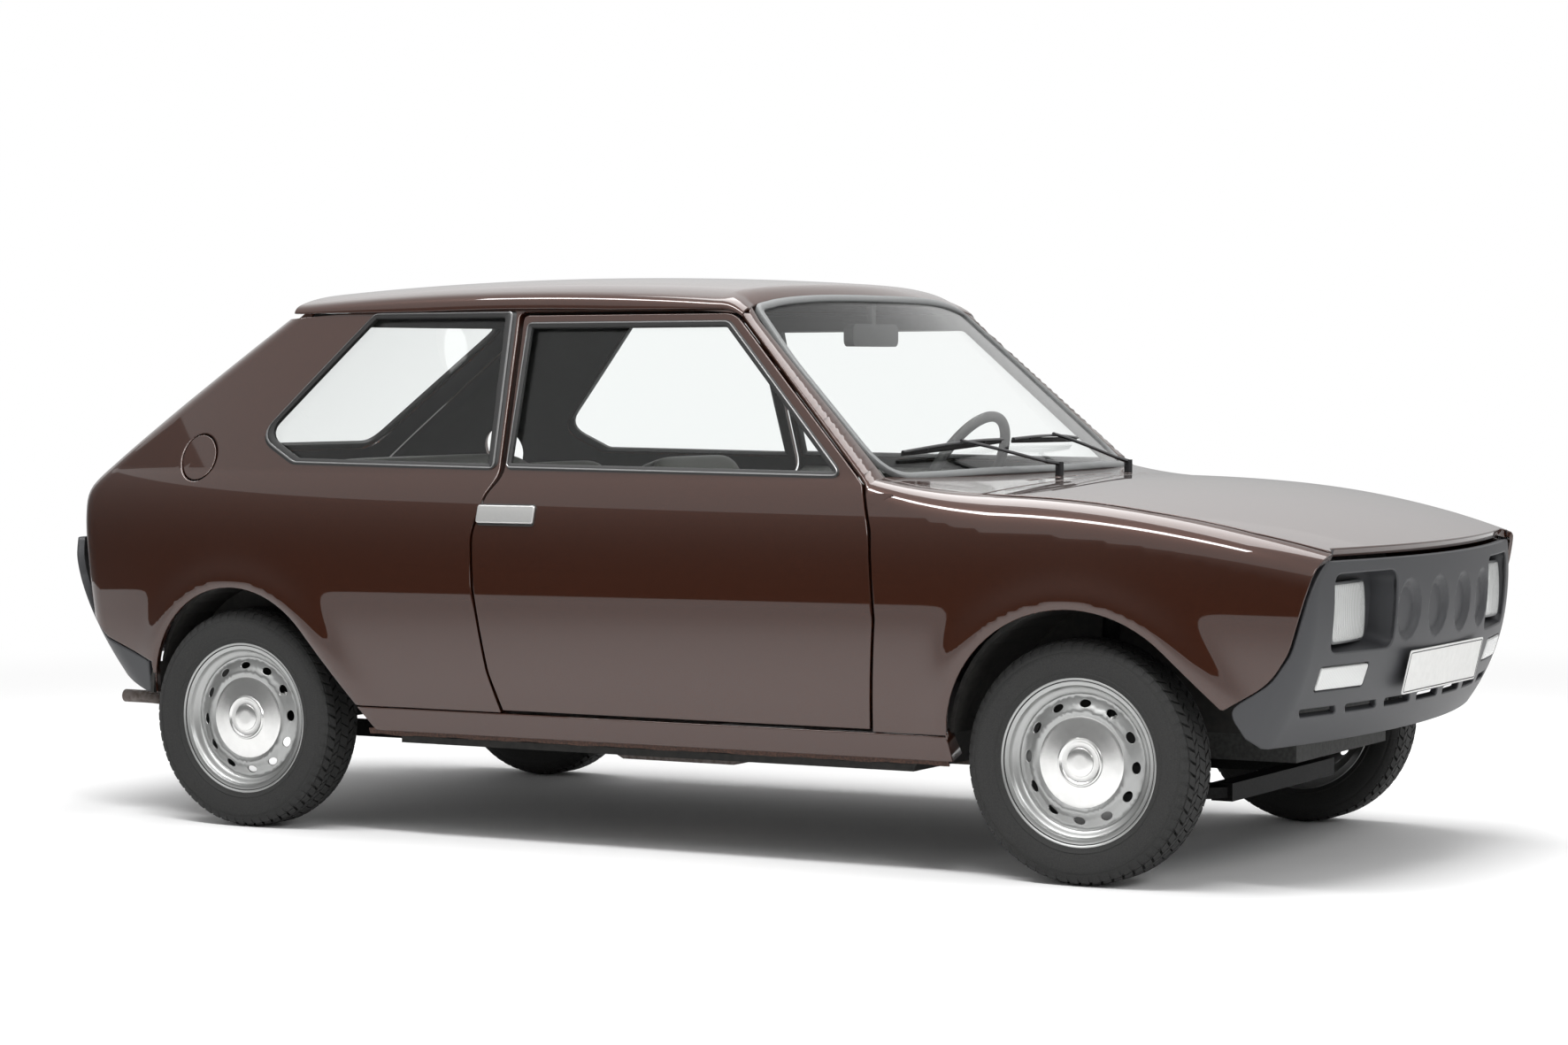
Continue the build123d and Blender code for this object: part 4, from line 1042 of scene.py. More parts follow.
# ---- tail ---------------------------------------------------------------------------------------
def gate_outline():
    top_y = np.linspace(-503, 503, 41)
    top = np.stack([top_y, height - 33 - 45 * (top_y / 560) ** 2], -1)
    z = np.array([roof_edge - 42, 1100, 1000, 930, tailgate_low + 42, tailgate_low + 3])
    y = np.array([505, 527, 545, 558, 573, 556])
    z, y = dense(np.stack([z, y], -1), 12, False).T
    edge = np.stack([tail_across(y, z), z], -1)
    return dense(np.concatenate([top, edge, (edge * (-1, 1))[::-1]]), 12)


rear_window = [(-470, 905, 40), (470, 905, 40), (430, height - 100, 40), (-430, height - 100, 40)]
rear_window_line = rounded(rear_window, 12)
gate = shell("tailgate_skin", gate_outline(), tail, brown, [rear_window_line], grid=13, thickness=18,
             edge=3, lining=cabin_plastic)
finish_piece(gate, "tailgate", "body_paint", "tailgate")
gate_pane = shell("tailgate_pane", rounded([(x * 1.01, z, r) for x, z, r in rear_window], 12), tail,
                  clear_glass, grid=30,
                  thickness=4, edge=1, lift=-8)
finish_piece(gate_pane, "tailgate", "clear_glass", "tailgate_glass")
finish_piece(strip("tailgate_seal", rear_window_line, tail, seal_section, rubber), "tailgate",
             "cabin_plastic")

panel_top = tailgate_low - 3
lamp_line = [(402, 708, 12), (402, 784, 12), (543, 784, 12), (543, 708, 12)]
lamp_right = rounded(lamp_line, 10)
lamp_holes = [lamp_right, lamp_right * (-1, 1)]
rear_panel_line = dense([(-558, 560), (558, 560), (558, panel_top), (-558, panel_top)], 14)
rear_panel = shell("rear_panel_skin", rear_panel_line, tail, brown, lamp_holes, grid=14, thickness=16, edge=3)
finish_piece(rear_panel, "body", "body_paint", "rear_panel")


def lens_material(name, colour, transmission=0.6):
    """Ribbed moulded lens."""
    material, nodes, links, shader = new_material(name, colour, 0.12)
    shader.inputs["Transmission Weight"].default_value = transmission
    shader.inputs["IOR"].default_value = 1.49
    shader.inputs["Coat Weight"].default_value = 0.5
    place = nodes.new("ShaderNodeTexCoord")
    wave = nodes.new("ShaderNodeTexWave")
    wave.bands_direction = "Y"
    wave.inputs["Scale"].default_value = 60
    links.new(place.outputs["Object"], wave.inputs["Vector"])
    bump(nodes, links, shader, wave.outputs["Fac"], 0.5, 0.001)
    return material


red_lens = lens_material("red lens", (0.55, 0.010, 0.008), 0.3)
amber_lens = lens_material("amber lens", (0.85, 0.22, 0.01), 0.3)
clear_lens = lens_material("clear lens", (0.80, 0.81, 0.80), 0.35)
tail_lamps = []
for sign in (1, -1):
    inner = rounded([(403.5, 709.5, 10), (403.5, 782.5, 10), (488, 782.5, 4), (488, 709.5, 4)], 10) * (sign,
        1)
    outer = rounded([(490, 709.5, 4), (490, 782.5, 4), (541.5, 782.5, 10), (541.5, 709.5, 10)], 10) * (sign,
        1)
    tail_lamps.append(shell("tail_lamp_red_%d" % sign, inner, tail, red_lens, grid=12, thickness=12, edge=3,
                            lift=4))
    tail_lamps.append(shell("tail_lamp_amber_%d" % sign, outer, tail, amber_lens, grid=12, thickness=12,
                            edge=3, lift=4))
finish_piece(joined("tail_lamp_lenses", tail_lamps), "body", "red_lens", "tail_lights")

# ---- rear bumper --------------------------------------------------------------------------------
def bumper_outline():
    right = rounded([(rear_axle - 600, 690, 10), (rear_axle - 564, 596, 40), (rear_axle - 500, 486, 60),
                     (rear_axle - 446, 443, 60),
                     (rear_axle - 296, 394, 4), (rear_axle - 297, 318, 14), (rear_axle - 312, 314, 14),
                         (rear_axle - 470, 376)], 10, False)
    edge = np.stack([bumper_u(right[:, 0], right[:, 1]), right[:, 1]], -1)
    top = np.array([(520, 690), (0, 690), (-520, 690)], float)
    bottom = np.array([(-560, 388), (0, 392), (560, 388)], float)
    return dense(np.concatenate([edge, bottom[::-1], (edge * (-1, 1))[::-1], top[::-1]]), 12)


bumper_skin = shell("rear_bumper_skin", bumper_outline(), bumper, dark_plastic, grid=14, thickness=18, edge=5)
finish_piece(bumper_skin, "body", "dark_plastic", "rear_bumper")

# ---- windscreen ---------------------------------------------------------------------------------
screen_top = [(y, float(roof_rim_z(y)) - 6) for y in np.linspace(450, -450, 31)]
screen_line = [(-636, glass_low, 55), (-300, glass_low + 7, 400), (300, glass_low + 7, 400),
               (636, glass_low, 55),
               (571, 1129, 400), (520, float(roof_rim_z(520)) - 6, 34), *screen_top,
               (-520, float(roof_rim_z(520)) - 6, 34), (-571, 1129, 400)]
screen_edge = rounded(screen_line, 14)
screen_pane = shell("windscreen_pane", screen_edge, screen, clear_glass, grid=30, thickness=5, edge=1.5,
                    lift=-2)
finish_piece(screen_pane, "body", "clear_glass", "windscreen")
screen_seal = strip("windscreen_seal", screen_edge, screen,
                    [(7, -3), (7, 1), (5, 4), (0, 5), (-5, 4), (-7, 1), (-7, -8), (4, -8)], screen_rubber)
finish_piece(screen_seal, "body", "cabin_plastic")

# ---- fascia -------------------------------------------------------------------------------------
def fascia_outline():
    top_y = np.linspace(0, 1, 30)
    corner_x, corner_y, _ = nose_corner(np.array([700.0]))
    front_half = corner_y[0] - nose_radius
    ys = top_y * front_half
    top = np.stack([ys, hood_height(nose_x(ys, 655), ys) - 21], -1)
    seam = [(front_axle + x + 1, z, 120) for x, z in [(534, 722)] + fascia_seam[1:]]
    seam = rounded(seam + [(front_axle + 372, 331, 16), (front_axle + 400, 308)], 9, False)
    edge = np.stack([nose_u(seam[:, 0], seam[:, 1]), seam[:, 1]], -1)
    start = np.array([(front_half + nose_turn * 0.5, top[-1, 1] - 3)])
    half = np.concatenate([top, start, edge, [(edge[-1, 0] - 20, 305.5)]])
    return dense(np.concatenate([half, (half * (-1, 1))[::-1][:-1]]), 11)


pocket_line = [(300, 506, 30), (300, 674, 30), (556, 674, 26), (556, 508, 26)]
blinker_line = [(389, 427, 8), (389, 479, 8), (576, 479, 8), (576, 427, 8)]
slot_holes = []
for k in range(-3, 4):
    y = k * 175
    lean = 22 * (1 if k >= 0 else -1) if k else 0
    slot_holes.append(rounded([(y - 66 - 10, 372, 4), (y - 66 + 10, 389, 4), (y + 66 + 10, 389, 4),
                               (y + 66 - 10, 372, 4)], 9))
pocket_right = rounded(pocket_line, 10)
blinker_right = rounded(blinker_line, 10)
fascia_holes = [pocket_right, pocket_right * (-1, 1), blinker_right, blinker_right * (-1, 1)] + slot_holes
fascia = shell("fascia_skin", fascia_outline(), nose, dark_plastic, fascia_holes, grid=7, thickness=16,
               edge=4, flip=True)
finish_piece(fascia, "body", "dark_plastic", "front_fascia")

# ---- lamps and plates ---------------------------------------------------------------------------
lamp_x = float(nose_x(545, 590)) - 6


def bucket(name, outline, surface, depth, material, floor_scale=0.9):
    """Open-topped well behind an opening: walls and a floor, as one thin closed skin."""
    middle = outline.mean(0)
    rings = []
    for scale, down in ((1.0, 3), (1.0, 10), (0.5 + 0.5 * floor_scale, depth * 0.55), (floor_scale, depth)):
        at = middle + (outline - middle) * scale
        n = surface_normals(surface, at, True)
        rings.append(surface(at[:, 0], at[:, 1]) - n * down)
    for scale, down in ((floor_scale, depth + 4), (1.0 + 0.03, depth * 0.5), (1.0 + 0.03, 3)):
        at = middle + (outline - middle) * scale
        n = surface_normals(surface, at, True)
        rings.append(surface(at[:, 0], at[:, 1]) - n * down)
    count = len(outline)
    faces = []
    order = list(range(len(rings)))
    for a, b in zip(order, order[1:] + order[:1]):
        if (a, b) == (3, 4):
            continue
        for i in range(count):
            j = (i + 1) % count
            faces.append((a * count + i, a * count + j, b * count + j, b * count + i))
    faces.append(tuple(3 * count + i for i in range(count)))
    faces.append(tuple(4 * count + i for i in reversed(range(count))))
    made = make_object(name, np.concatenate(rings), faces, material, sharp=50)
    outward(made)
    return made


wells = []
for sign in (1, -1):
    wells.append(bucket("well_%d" % sign, pocket_right * (sign, 1), nose, 62, dark_plastic, 0.93))
finish_piece(joined("headlamp_wells", wells), "body", "dark_plastic")

reflector_metal = metal("reflector", (0.78, 0.79, 0.80), 0.10)
lamp_bezel = grained("lamp rim", (0.055, 0.057, 0.060), (0.075, 0.078, 0.080), 0.35, 800, 0.1)


def fluted_painted_bright():
    """Headlamp glass, with upright flutes moulded in its back. Its near-white, half-opaque colour is painted
    brightness: it stands in for the lit reflector seen through the flutes.
    """
    material, nodes, links, shader = new_material("headlamp glass", (0.90, 0.91, 0.90), 0.08)
    # near-white base and only part see-through: painted brightness in place of the reflector's light through
    # the glass
    shader.inputs["Transmission Weight"].default_value = 0.55
    shader.inputs["IOR"].default_value = 1.35
    place = nodes.new("ShaderNodeTexCoord")
    wave = nodes.new("ShaderNodeTexWave")
    wave.bands_direction = "Y"
    wave.inputs["Scale"].default_value = 38
    wave.inputs["Distortion"].default_value = 0.4
    links.new(place.outputs["Object"], wave.inputs["Vector"])
    bump(nodes, links, shader, wave.outputs["Fac"], 0.9, 0.0012)
    return material


def lamp_face_surface(sign):
    """Slightly bulged lamp face."""
    def face(u, v):
        du, dv = (u - sign * 446) / 100, (v - 590) / 67
        return np.stack([lamp_x - 5 - 7 * (du**2 + 0.6 * dv**2), -u, v], -1)
    return face


def lamp_outline(half_wide, half_high, radius, sign):
    return rounded([(-half_wide, -half_high, radius), (half_wide, -half_high, radius),
                    (half_wide, half_high, radius),
                    (-half_wide, half_high, radius)], 7) + (sign * 446, 590)


lenses, reflectors, rims = [], [], []
for sign in (1, -1):
    face = lamp_face_surface(sign)
    lenses.append(shell("lens_%d" % sign, lamp_outline(93, 60, 14, sign), face,
                        fluted_painted_bright() if sign > 0 else lenses[0].data.materials[0],
                        grid=10, thickness=4, edge=1.5, flip=True, lift=5))
    rims.append(strip("rim_%d" % sign, lamp_outline(94, 61, 14, sign), face,
                      [(6, -24), (6, 1), (4, 4.4), (0, 4.8), (-4, 3), (-5, -2), (0, -24)],
                      lamp_bezel, flip=True))
    # bowl: the section of a lamp reflector, deepest in the middle
    rings = []
    base = lamp_outline(94, 61, 14, 0) - (0, 590)
    for share in np.linspace(1, 0.12, 9):
        deep = 34 * (1 - share**2)
        rings.append(np.stack([np.full(len(base), lamp_x - 10 - deep), -(sign * 446 + base[:, 0] * share),
                               590 + base[:, 1] * share], -1))
    count = len(base)
    faces = [(k * count + i, k * count + (i + 1) % count, (k + 1) * count + (i + 1) % count,
              (k + 1) * count + i)
             for k in range(8) for i in range(count)]
    faces.append(tuple(8 * count + i for i in range(count)))
    back = np.concatenate(rings)
    back[:, 0] -= 2
    faces += [tuple(i + 9 * count for i in reversed(f)) for f in faces]
    faces += [(i, i + 9 * count, (i + 1) % count + 9 * count, (i + 1) % count) for i in range(count)]
    bowl = make_object("bowl_%d" % sign, np.concatenate(rings + [back]), faces, reflector_metal)
    outward(bowl)
    reflectors.append(bowl)
finish_piece(joined("headlamp_glasses", lenses), "body", "lamp_glass", "headlights")
finish_piece(joined("headlamp_reflectors", reflectors), "body", "wheel_silver")
finish_piece(joined("headlamp_rims", rims), "body", "cabin_plastic")

blinkers = []
for sign in (1, -1):
    frame_line = rounded([(391, 429, 7), (391, 477, 7), (574, 477, 7), (574, 429, 7)], 8) * (sign, 1)
    blinkers.append(shell("blinker_%d" % sign, frame_line, nose, clear_lens, grid=10, thickness=14, edge=4,
                          flip=True, lift=2))
finish_piece(joined("indicator_lenses", blinkers), "body", "indicator_lens", "indicators")

plate_white = grained("plate white", (0.66, 0.66, 0.645), (0.70, 0.70, 0.685), 0.45, 60, 0.0)
plate_edge = grained("plate edge", (0.02, 0.02, 0.02), (0.03, 0.03, 0.03), 0.5, 900)
plate_tilt = tan(radians(13))
plate_centre_x = float(nose_x(0, 496)) + 5 - 50 * sin(radians(13))


def front_plate_surface(u, v):
    return np.stack([plate_centre_x + plate_tilt * (v - 446) + 1.4 + 0 * u, -u, v], -1)


def rear_plate_surface(u, v):
    return np.stack([float(hatch_x(0, 745)) - 5.2 + 0 * u, u, v], -1)


def plate(name, surface, middle, flip):
    outline = rounded([(-239, -48, 8), (239, -48, 8), (239, 48, 8), (-239, 48, 8)], 20) + (0, middle)
    inner = rounded([(-234, -43, 5), (234, -43, 5), (234, 43, 5), (-234, 43, 5)], 20) + (0, middle)
    board = shell(name + "_board", outline, surface, plate_white, grid=60, thickness=2.4, edge=0.6, flip=flip)
    line = strip(name + "_line", inner, surface, [(1.1, -0.5), (1.1, 0.5), (-1.1, 0.5), (-1.1, -0.5)],
                 plate_edge, flip=flip)
    return joined(name, [board, line])


front_plate = plate("front_plate", front_plate_surface, 446, True)
rear_plate = plate("rear_plate", rear_plate_surface, 755, False)
finish_piece(joined("blank_plates", [front_plate, rear_plate]), "body", "plate_white", "number_plates")

# ---- wheels -------------------------------------------------------------------------------------
tyre_rubber = grained("tyre rubber", (0.010, 0.010, 0.010), (0.020, 0.020, 0.019), 0.78, 420, 0.35, 0.0004)
wheel_silver = metal("wheel silver", (0.40, 0.405, 0.40), 0.40, 1500, 0.10)
cap_metal = metal("turned cap", (0.72, 0.72, 0.71), 0.27, 60, 0.06)


def lathe(name, section, count, material, sharp=30, closed=True):
    """Ring of revolution about the wheel's axis from (radius, outboard) points; outboard is -Y."""
    angles = np.linspace(0, 2 * pi, count, endpoint=False)
    section = np.asarray(section, float)
    rings = [np.stack([r * np.cos(angles), np.full(count, -o), r * np.sin(angles)], -1) for r, o in section]
    many = len(section)
    faces = []
    for k in range(many if closed else many - 1):
        nxt = (k + 1) % many
        for i in range(count):
            j = (i + 1) % count
            faces.append((k * count + i, k * count + j, nxt * count + j, nxt * count + i))
    if not closed:
        faces.append(tuple(reversed(range(count))))
        faces.append(tuple((many - 1) * count + i for i in range(count)))
    made = make_object(name, np.concatenate(rings), faces, material, sharp=sharp)
    outward(made)
    return made


def tyre():
    """Carcass with worn side ribs, and a tread of staggered blocks."""
    r = tyre_radius
    side_half = [(172, 50), (176, 55), (183, 57), (190, 60.5), (193, 62.5), (196, 61.5), (206, 65),
                 (218, 67.5), (229, 68.6),
                 (236, 68.2), (238.5, 66.8), (241, 67.2), (247, 65), (252, 62), (256, 58)]
    section = side_half + [(256.5, 50), (257, 25), (257, 0), (257, -25), (256.5, -50)] + [(a, -b) for a,
        b in side_half[::-1]]
    carcass = lathe("carcass", section, 128, tyre_rubber)
    net = bmesh.new()
    rows = (  # blocks: middle, half width, share of the pitch, skew, outer edge drop
        (-46.5, 9.0, 0.74, 5.0, 5.0),
        (-26.0, 8.6, 0.80, -6.0, 0.4),
        (0.0, 14.5, 0.86, 6.0, 0.0),
        (26.0, 8.6, 0.80, -6.0, 0.4),
        (46.5, 9.0, 0.74, 5.0, 5.0),
    )
    pitches = 62
    for row, (middle, half, share, skew, drop) in enumerate(rows):
        for i in range(pitches):
            start = (i + 0.5 * (row % 2)) / pitches * 2 * pi
            width = 2 * pi / pitches * share
            corners = []
            for low in (True, False):
                for across_y, sgn in ((middle - half, -1), (middle + half, 1)):
                    outer = abs(across_y) > abs(middle)
                    radius = 254.5 if low else r - 0.4 - (drop if outer and drop > 1 else 0)
                    slip = skew / r * sgn
                    for k in range(3):
                        angle = start + slip + width * k / 2
                        corners.append((radius * cos(angle), -across_y, radius * sin(angle)))
            v = [net.verts.new(c) for c in corners]
            lo_a, lo_b, hi_a, hi_b = v[0:3], v[3:6], v[6:9], v[9:12]
            for k in range(2):
                net.faces.new((hi_a[k], hi_a[k + 1], hi_b[k + 1], hi_b[k]))
                net.faces.new((lo_a[k], lo_a[k + 1], hi_a[k + 1], hi_a[k]))
                net.faces.new((lo_b[k + 1], lo_b[k], hi_b[k], hi_b[k + 1]))
                net.faces.new((lo_a[k + 1], lo_a[k], lo_b[k], lo_b[k + 1]))
            net.faces.new((lo_a[0], hi_a[0], hi_b[0], lo_b[0]))
            net.faces.new((hi_a[2], lo_a[2], lo_b[2], hi_b[2]))
    # ribs round the shoulder of the sidewall, like the block ends seen from the side
    for sgn in (1, -1):
        for i in range(pitches):
            start = (i + (0.3 if sgn > 0 else 0)) / pitches * 2 * pi
            width = 2 * pi / pitches * 0.70
            line = [(257.5, 54.0, 59.0), (251, 58.0, 64.2), (244, 62.5, 67.2), (240.5, 64.0, 67.6)]
            top = []
            for radius, in_y, out_y in line:
                for k in (0, 1):
                    angle = start + width * k
                    top.append([(radius * cos(angle), -sgn * y, radius * sin(angle)) for y in (in_y, out_y)])
            v = [[net.verts.new(c) for c in pair] for pair in top]
            for k in range(len(line) - 1):
                a, b, c, d = v[2 * k], v[2 * k + 1], v[2 * k + 2], v[2 * k + 3]
                net.faces.new((a[1], b[1], d[1], c[1]))
                net.faces.new((b[0], a[0], c[0], d[0]))
                net.faces.new((a[0], a[1], c[1], c[0]))
                net.faces.new((b[1], b[0], d[0], d[1]))
            net.faces.new((v[0][0], v[1][0], v[1][1], v[0][1]))
            net.faces.new((v[-1][0], v[-2][0], v[-2][1], v[-1][1]))
    bmesh.ops.recalc_face_normals(net, faces=net.faces)
    for vertex in net.verts:
        vertex.co *= MM
    mesh = bpy.data.meshes.new("tread")
    net.to_mesh(mesh)
    net.free()
    mesh.materials.append(tyre_rubber)
    tread = bpy.data.objects.new("tread", mesh)
    bpy.context.scene.collection.objects.link(tread)
    return joined("tyre_body", [carcass, tread])


def disc_height(r):
    """Outboard height of the wheel disc's face at a radius."""
    return np.interp(r, [60, 96, 101, 107, 113, 119, 124, 133, 140, 146, 152],
                     [34, 36, 38.5, 41, 40.5, 37.5, 34.5, 31.5, 29.5, 30, 34])


def disc_surface(u, v):
    return np.stack([u, -disc_height(np.hypot(u, v)), v], -1)


def wheel_disc():
    """Pressed disc with twelve oval holes, tangential to the ring they lie on."""
    holes = []
    for k in range(12):
        at = k * pi / 6 + radians(5)
        along, out = 13.2 * np.cos(turn_steps[::3]), 8.0 * np.sin(turn_steps[::3])
        holes.append(np.stack([(127 + out) * cos(at) - along * sin(at),
                               (127 + out) * sin(at) + along * cos(at)], -1))
    ring = np.linspace(0, 2 * pi, 160, endpoint=False)
    outline = np.stack([149 * np.cos(ring), 149 * np.sin(ring)], -1)
    centre = np.stack([62 * np.cos(ring), 62 * np.sin(ring)], -1)[::2]
    return shell("disc", outline, disc_surface, wheel_silver, holes + [centre], grid=5.5, thickness=4,
                 edge=1.6, lift=0)


def wheel_rim():
    """Rim well with its stepped outer flange, disc, raised ring, hub cap and valve."""
    section = [(147, 33), (150, 36.5), (155, 39), (160, 41), (163, 44), (165, 49), (166.5, 51), (171, 52),
               (175, 53.5), (178, 56), (181, 57.5),
               (183, 56.5), (182.6, 54), (179, 51.5), (172, 48), (169.5, 44), (166, 36), (152, 30),
                   (150, -24), (168, -44), (169, -52),
               (179, -52), (182.5, -55), (183, -57), (181, -58), (176, -56), (166, -54), (163, -46),
                   (146, -26), (145, 26)]
    band_ring = lathe("band", section, 180, wheel_silver)
    cap = [(0.01, 47.5), (14, 47.5), (27, 47.2), (30.5, 46), (31.5, 44), (35, 43.6), (43.5, 44.2),
           (46.5, 46.8), (49, 47.5), (51.5, 46.6), (53.5, 43.8),
           (62, 42.6), (78, 40.6), (92, 38.6), (97, 38.2), (99.3, 37), (99.3, 34), (96, 33), (0.01, 33)]
    hub_cap = lathe("cap", cap, 128, cap_metal, closed=True)
    stem = lathe("valve", [(0.01, 21), (2.6, 21), (3.2, 18), (3.2, 2), (4.5, 0), (4.5, -4), (0.01, -4)], 16,
                 cap_metal)
    stem.data.transform(Matrix.Translation((0.127 * cos(0.785 + 0.26), -0.034, 0.127 * sin(0.785 + 0.26))))
    for made in (hub_cap, stem):
        made.data.update()
    return joined("rim_body", [band_ring, wheel_disc(), hub_cap, stem])


tyre_master = tyre()
rim_master = wheel_rim()
wheel_places = (
    ("front_right", front_axle, -front_wheel_y, 1, 8),
    ("rear_right", rear_axle, -rear_wheel_y, 1, 31),
    ("front_left", front_axle, front_wheel_y, -1, 47),
    ("rear_left", rear_axle, rear_wheel_y, -1, 63),
)
for corner, axle_x, wheel_y, sgn, spin in wheel_places:
    for master, part, slot in ((tyre_master, "tyre", "tyre_rubber"), (rim_master, "rim", "wheel_silver")):
        copy = bpy.data.objects.new("wheel_%s_%s" % (part, corner), master.data.copy())
        bpy.context.scene.collection.objects.link(copy)
        turn = Matrix.Rotation(radians(spin), 4, "Y")
        if sgn < 0:
            turn = Matrix.Rotation(pi, 4, "Z") @ turn
        copy.data.transform(Matrix.Translation((axle_x * MM, wheel_y * MM, tyre_radius * MM)) @ turn)
        finish_piece(copy, "wheel_" + corner, slot, "%s_%s" % (part, corner))
for master in (tyre_master, rim_master):
    bpy.data.objects.remove(master)

# ---- wipers -------------------------------------------------------------------------------------
def rod(name, path, half_wide, half_high, material, around=8):
    """Bar of oval section along a path of points, thickest upright."""
    path = np.asarray(path, float)
    ahead = np.gradient(path, axis=0)
    ahead /= np.linalg.norm(ahead, axis=1, keepdims=True)
    level = np.cross(ahead, (0.3, 0.1, 1.0))
    level /= np.linalg.norm(level, axis=1, keepdims=True)
    up = np.cross(level, ahead)
    angles = np.linspace(0, 2 * pi, around, endpoint=False)
    rings = [p + half_wide * np.outer(np.cos(angles), l) + half_high * np.outer(np.sin(angles), u)
             for p, l, u in zip(path, level, up)]
    many = len(rings)
    faces = [(k * around + i, (k + 1) * around + i, (k + 1) * around + (i + 1) % around,
              k * around + (i + 1) % around)
             for k in range(many - 1) for i in range(around)]
    faces += [tuple(range(around)), tuple((many - 1) * around + i for i in reversed(range(around)))]
    made = make_object(name, np.concatenate(rings), faces, material, sharp=50)
    outward(made)
    return made


def on_screen(y, z, proud):
    """Point on the windscreen, lifted off it."""
    at = np.array([[y, z]], float)
    lift = surface_normals(screen, at, False)[0]
    lift *= np.sign(lift[0])
    return screen(at[:, 0], at[:, 1])[0] + lift * proud


def wiper(name, tip, heel, pivot_y):
    """Blade between two points on the glass, its arm, and the spindle that stands on the cowl."""
    share = np.linspace(0, 1, 15)
    line = [on_screen(tip[0] + (heel[0] - tip[0]) * t, tip[1] + (heel[1] - tip[1]) * t, 9) for t in share]
    rise = on_screen(0, 900, 1) - on_screen(0, 900, 0)
    spine = [p + rise * (5 + 9 * sin(pi * t)) for p, t in zip(line, share)]
    pivot = np.array([hood_rear_x - 88, pivot_y, float(hood_height(hood_rear_x - 88, pivot_y))])
    clip_point = spine[7]
    knee = pivot + (clip_point - pivot) * 0.24 + rise * 16
    arm = [pivot + (0, 0, 26), knee, pivot + (clip_point - pivot) * 0.6 + rise * 20, clip_point + rise * 5]
    start, near_start, near_end, end = arm
    arm = [(1 - t) ** 3 * start + 3 * t * (1 - t) ** 2 * near_start + 3 * t * t * (1 - t) * near_end
           + t**3 * end for t in share]
    pieces = [
        rod(name + "_rubber", line, 2.4, 6.5, rubber),
        rod(name + "_spine", spine, 5.0, 3.0, wiper_black),
        rod(name + "_arm", arm, 7.0, 4.0, wiper_black),
        rod(name + "_root", [arm[0], arm[3]], 8.0, 5.0, wiper_black),
        rod(name + "_spindle", [pivot - (0, 0, 4), pivot + (0, 0, 12), pivot + (0, 0, 30)], 10, 10,
            wiper_black, 16),
    ]
    for t in (3, 11):
        pieces.append(rod(name + "_claw_%d" % t, [line[t], spine[t]], 4.0, 2.0, wiper_black))
    return joined(name, pieces)


wiper_black = grained("wiper black", (0.010, 0.010, 0.011), (0.020, 0.020, 0.022), 0.32, 900, 0.05)
wipers = [wiper("wiper_right", (-545, 912), (-160, 934), -100),
          wiper("wiper_left", (-110, 934), (270, 930), 287)]
finish_piece(joined("wipers", wipers), "body", "cabin_plastic")


# ---- cabin --------------------------------------------------------------------------------------
def ribbed_vinyl():
    """Grey-green seat vinyl with a fine grain and soft folds."""
    material, nodes, links, shader = new_material("ribbed vinyl", (0.060, 0.062, 0.048), 0.46)
    grain, tones = noise_between(nodes, links, 700, (0.050, 0.052, 0.040), (0.082, 0.084, 0.066), 4.0)
    links.new(tones.outputs["Color"], shader.inputs["Base Color"])
    shader.inputs["Sheen Weight"].default_value = 0.15
    folds, _ = noise_between(nodes, links, 9, (0, 0, 0), (1, 1, 1), 2.0)
    total = nodes.new("ShaderNodeMath")
    total.operation = "MULTIPLY_ADD"
    total.inputs[1].default_value = 6.0
    links.new(folds.outputs["Fac"], total.inputs[0])
    links.new(grain.outputs["Fac"], total.inputs[2])
    bump(nodes, links, shader, total.outputs["Value"], 0.25, 0.0006)
    return material


seat_material = ribbed_vinyl()


def pad(name, centre, half, lean, cuts):
    """Stuffed seat pad: rounded and crowned, drawn in at its seam, with sewn channels down its face."""
    net = bmesh.new()
    bmesh.ops.create_cube(net, size=2)
    bmesh.ops.subdivide_edges(net, edges=net.edges[:], cuts=cuts, use_grid_fill=True)
    for vertex in net.verts:
        p = np.array(vertex.co[:])
        p /= (np.abs(p) ** 7).sum() ** (1 / 7)
        face = np.clip(p[2] * 1.6, 0, 1)
        middle = (1 - np.abs(p[0]) ** 3) * (1 - np.abs(p[1]) ** 3)
        seam = np.exp(-(((p[2] - 0.45) / 0.10) ** 2))
        x, y, z = p * half
        border = np.clip((0.80 - np.abs(p[0])) / 0.06, 0, 1) * np.clip((0.84 - np.abs(p[1])) / 0.06, 0, 1)
        groove = np.cos(y / 52 * 2 * pi) * 0.5 + 0.5
        z += face * (0.10 * half[2] * middle - 7 * border * groove**4)
        squeeze = 1 - 0.012 * seam
        vertex.co = (x * squeeze, y * squeeze, min(z, half[2]))
    bmesh.ops.recalc_face_normals(net, faces=net.faces)
    mesh = bpy.data.meshes.new(name)
    turn = Matrix.Rotation(lean, 4, "Y")
    net.transform(Matrix.Scale(MM, 4) @ Matrix.Translation(Vector(centre)) @ turn)
    net.to_mesh(mesh)
    net.free()
    mesh.materials.append(seat_material)
    mesh.shade_smooth()
    made = bpy.data.objects.new(name, mesh)
    bpy.context.scene.collection.objects.link(made)
    return made


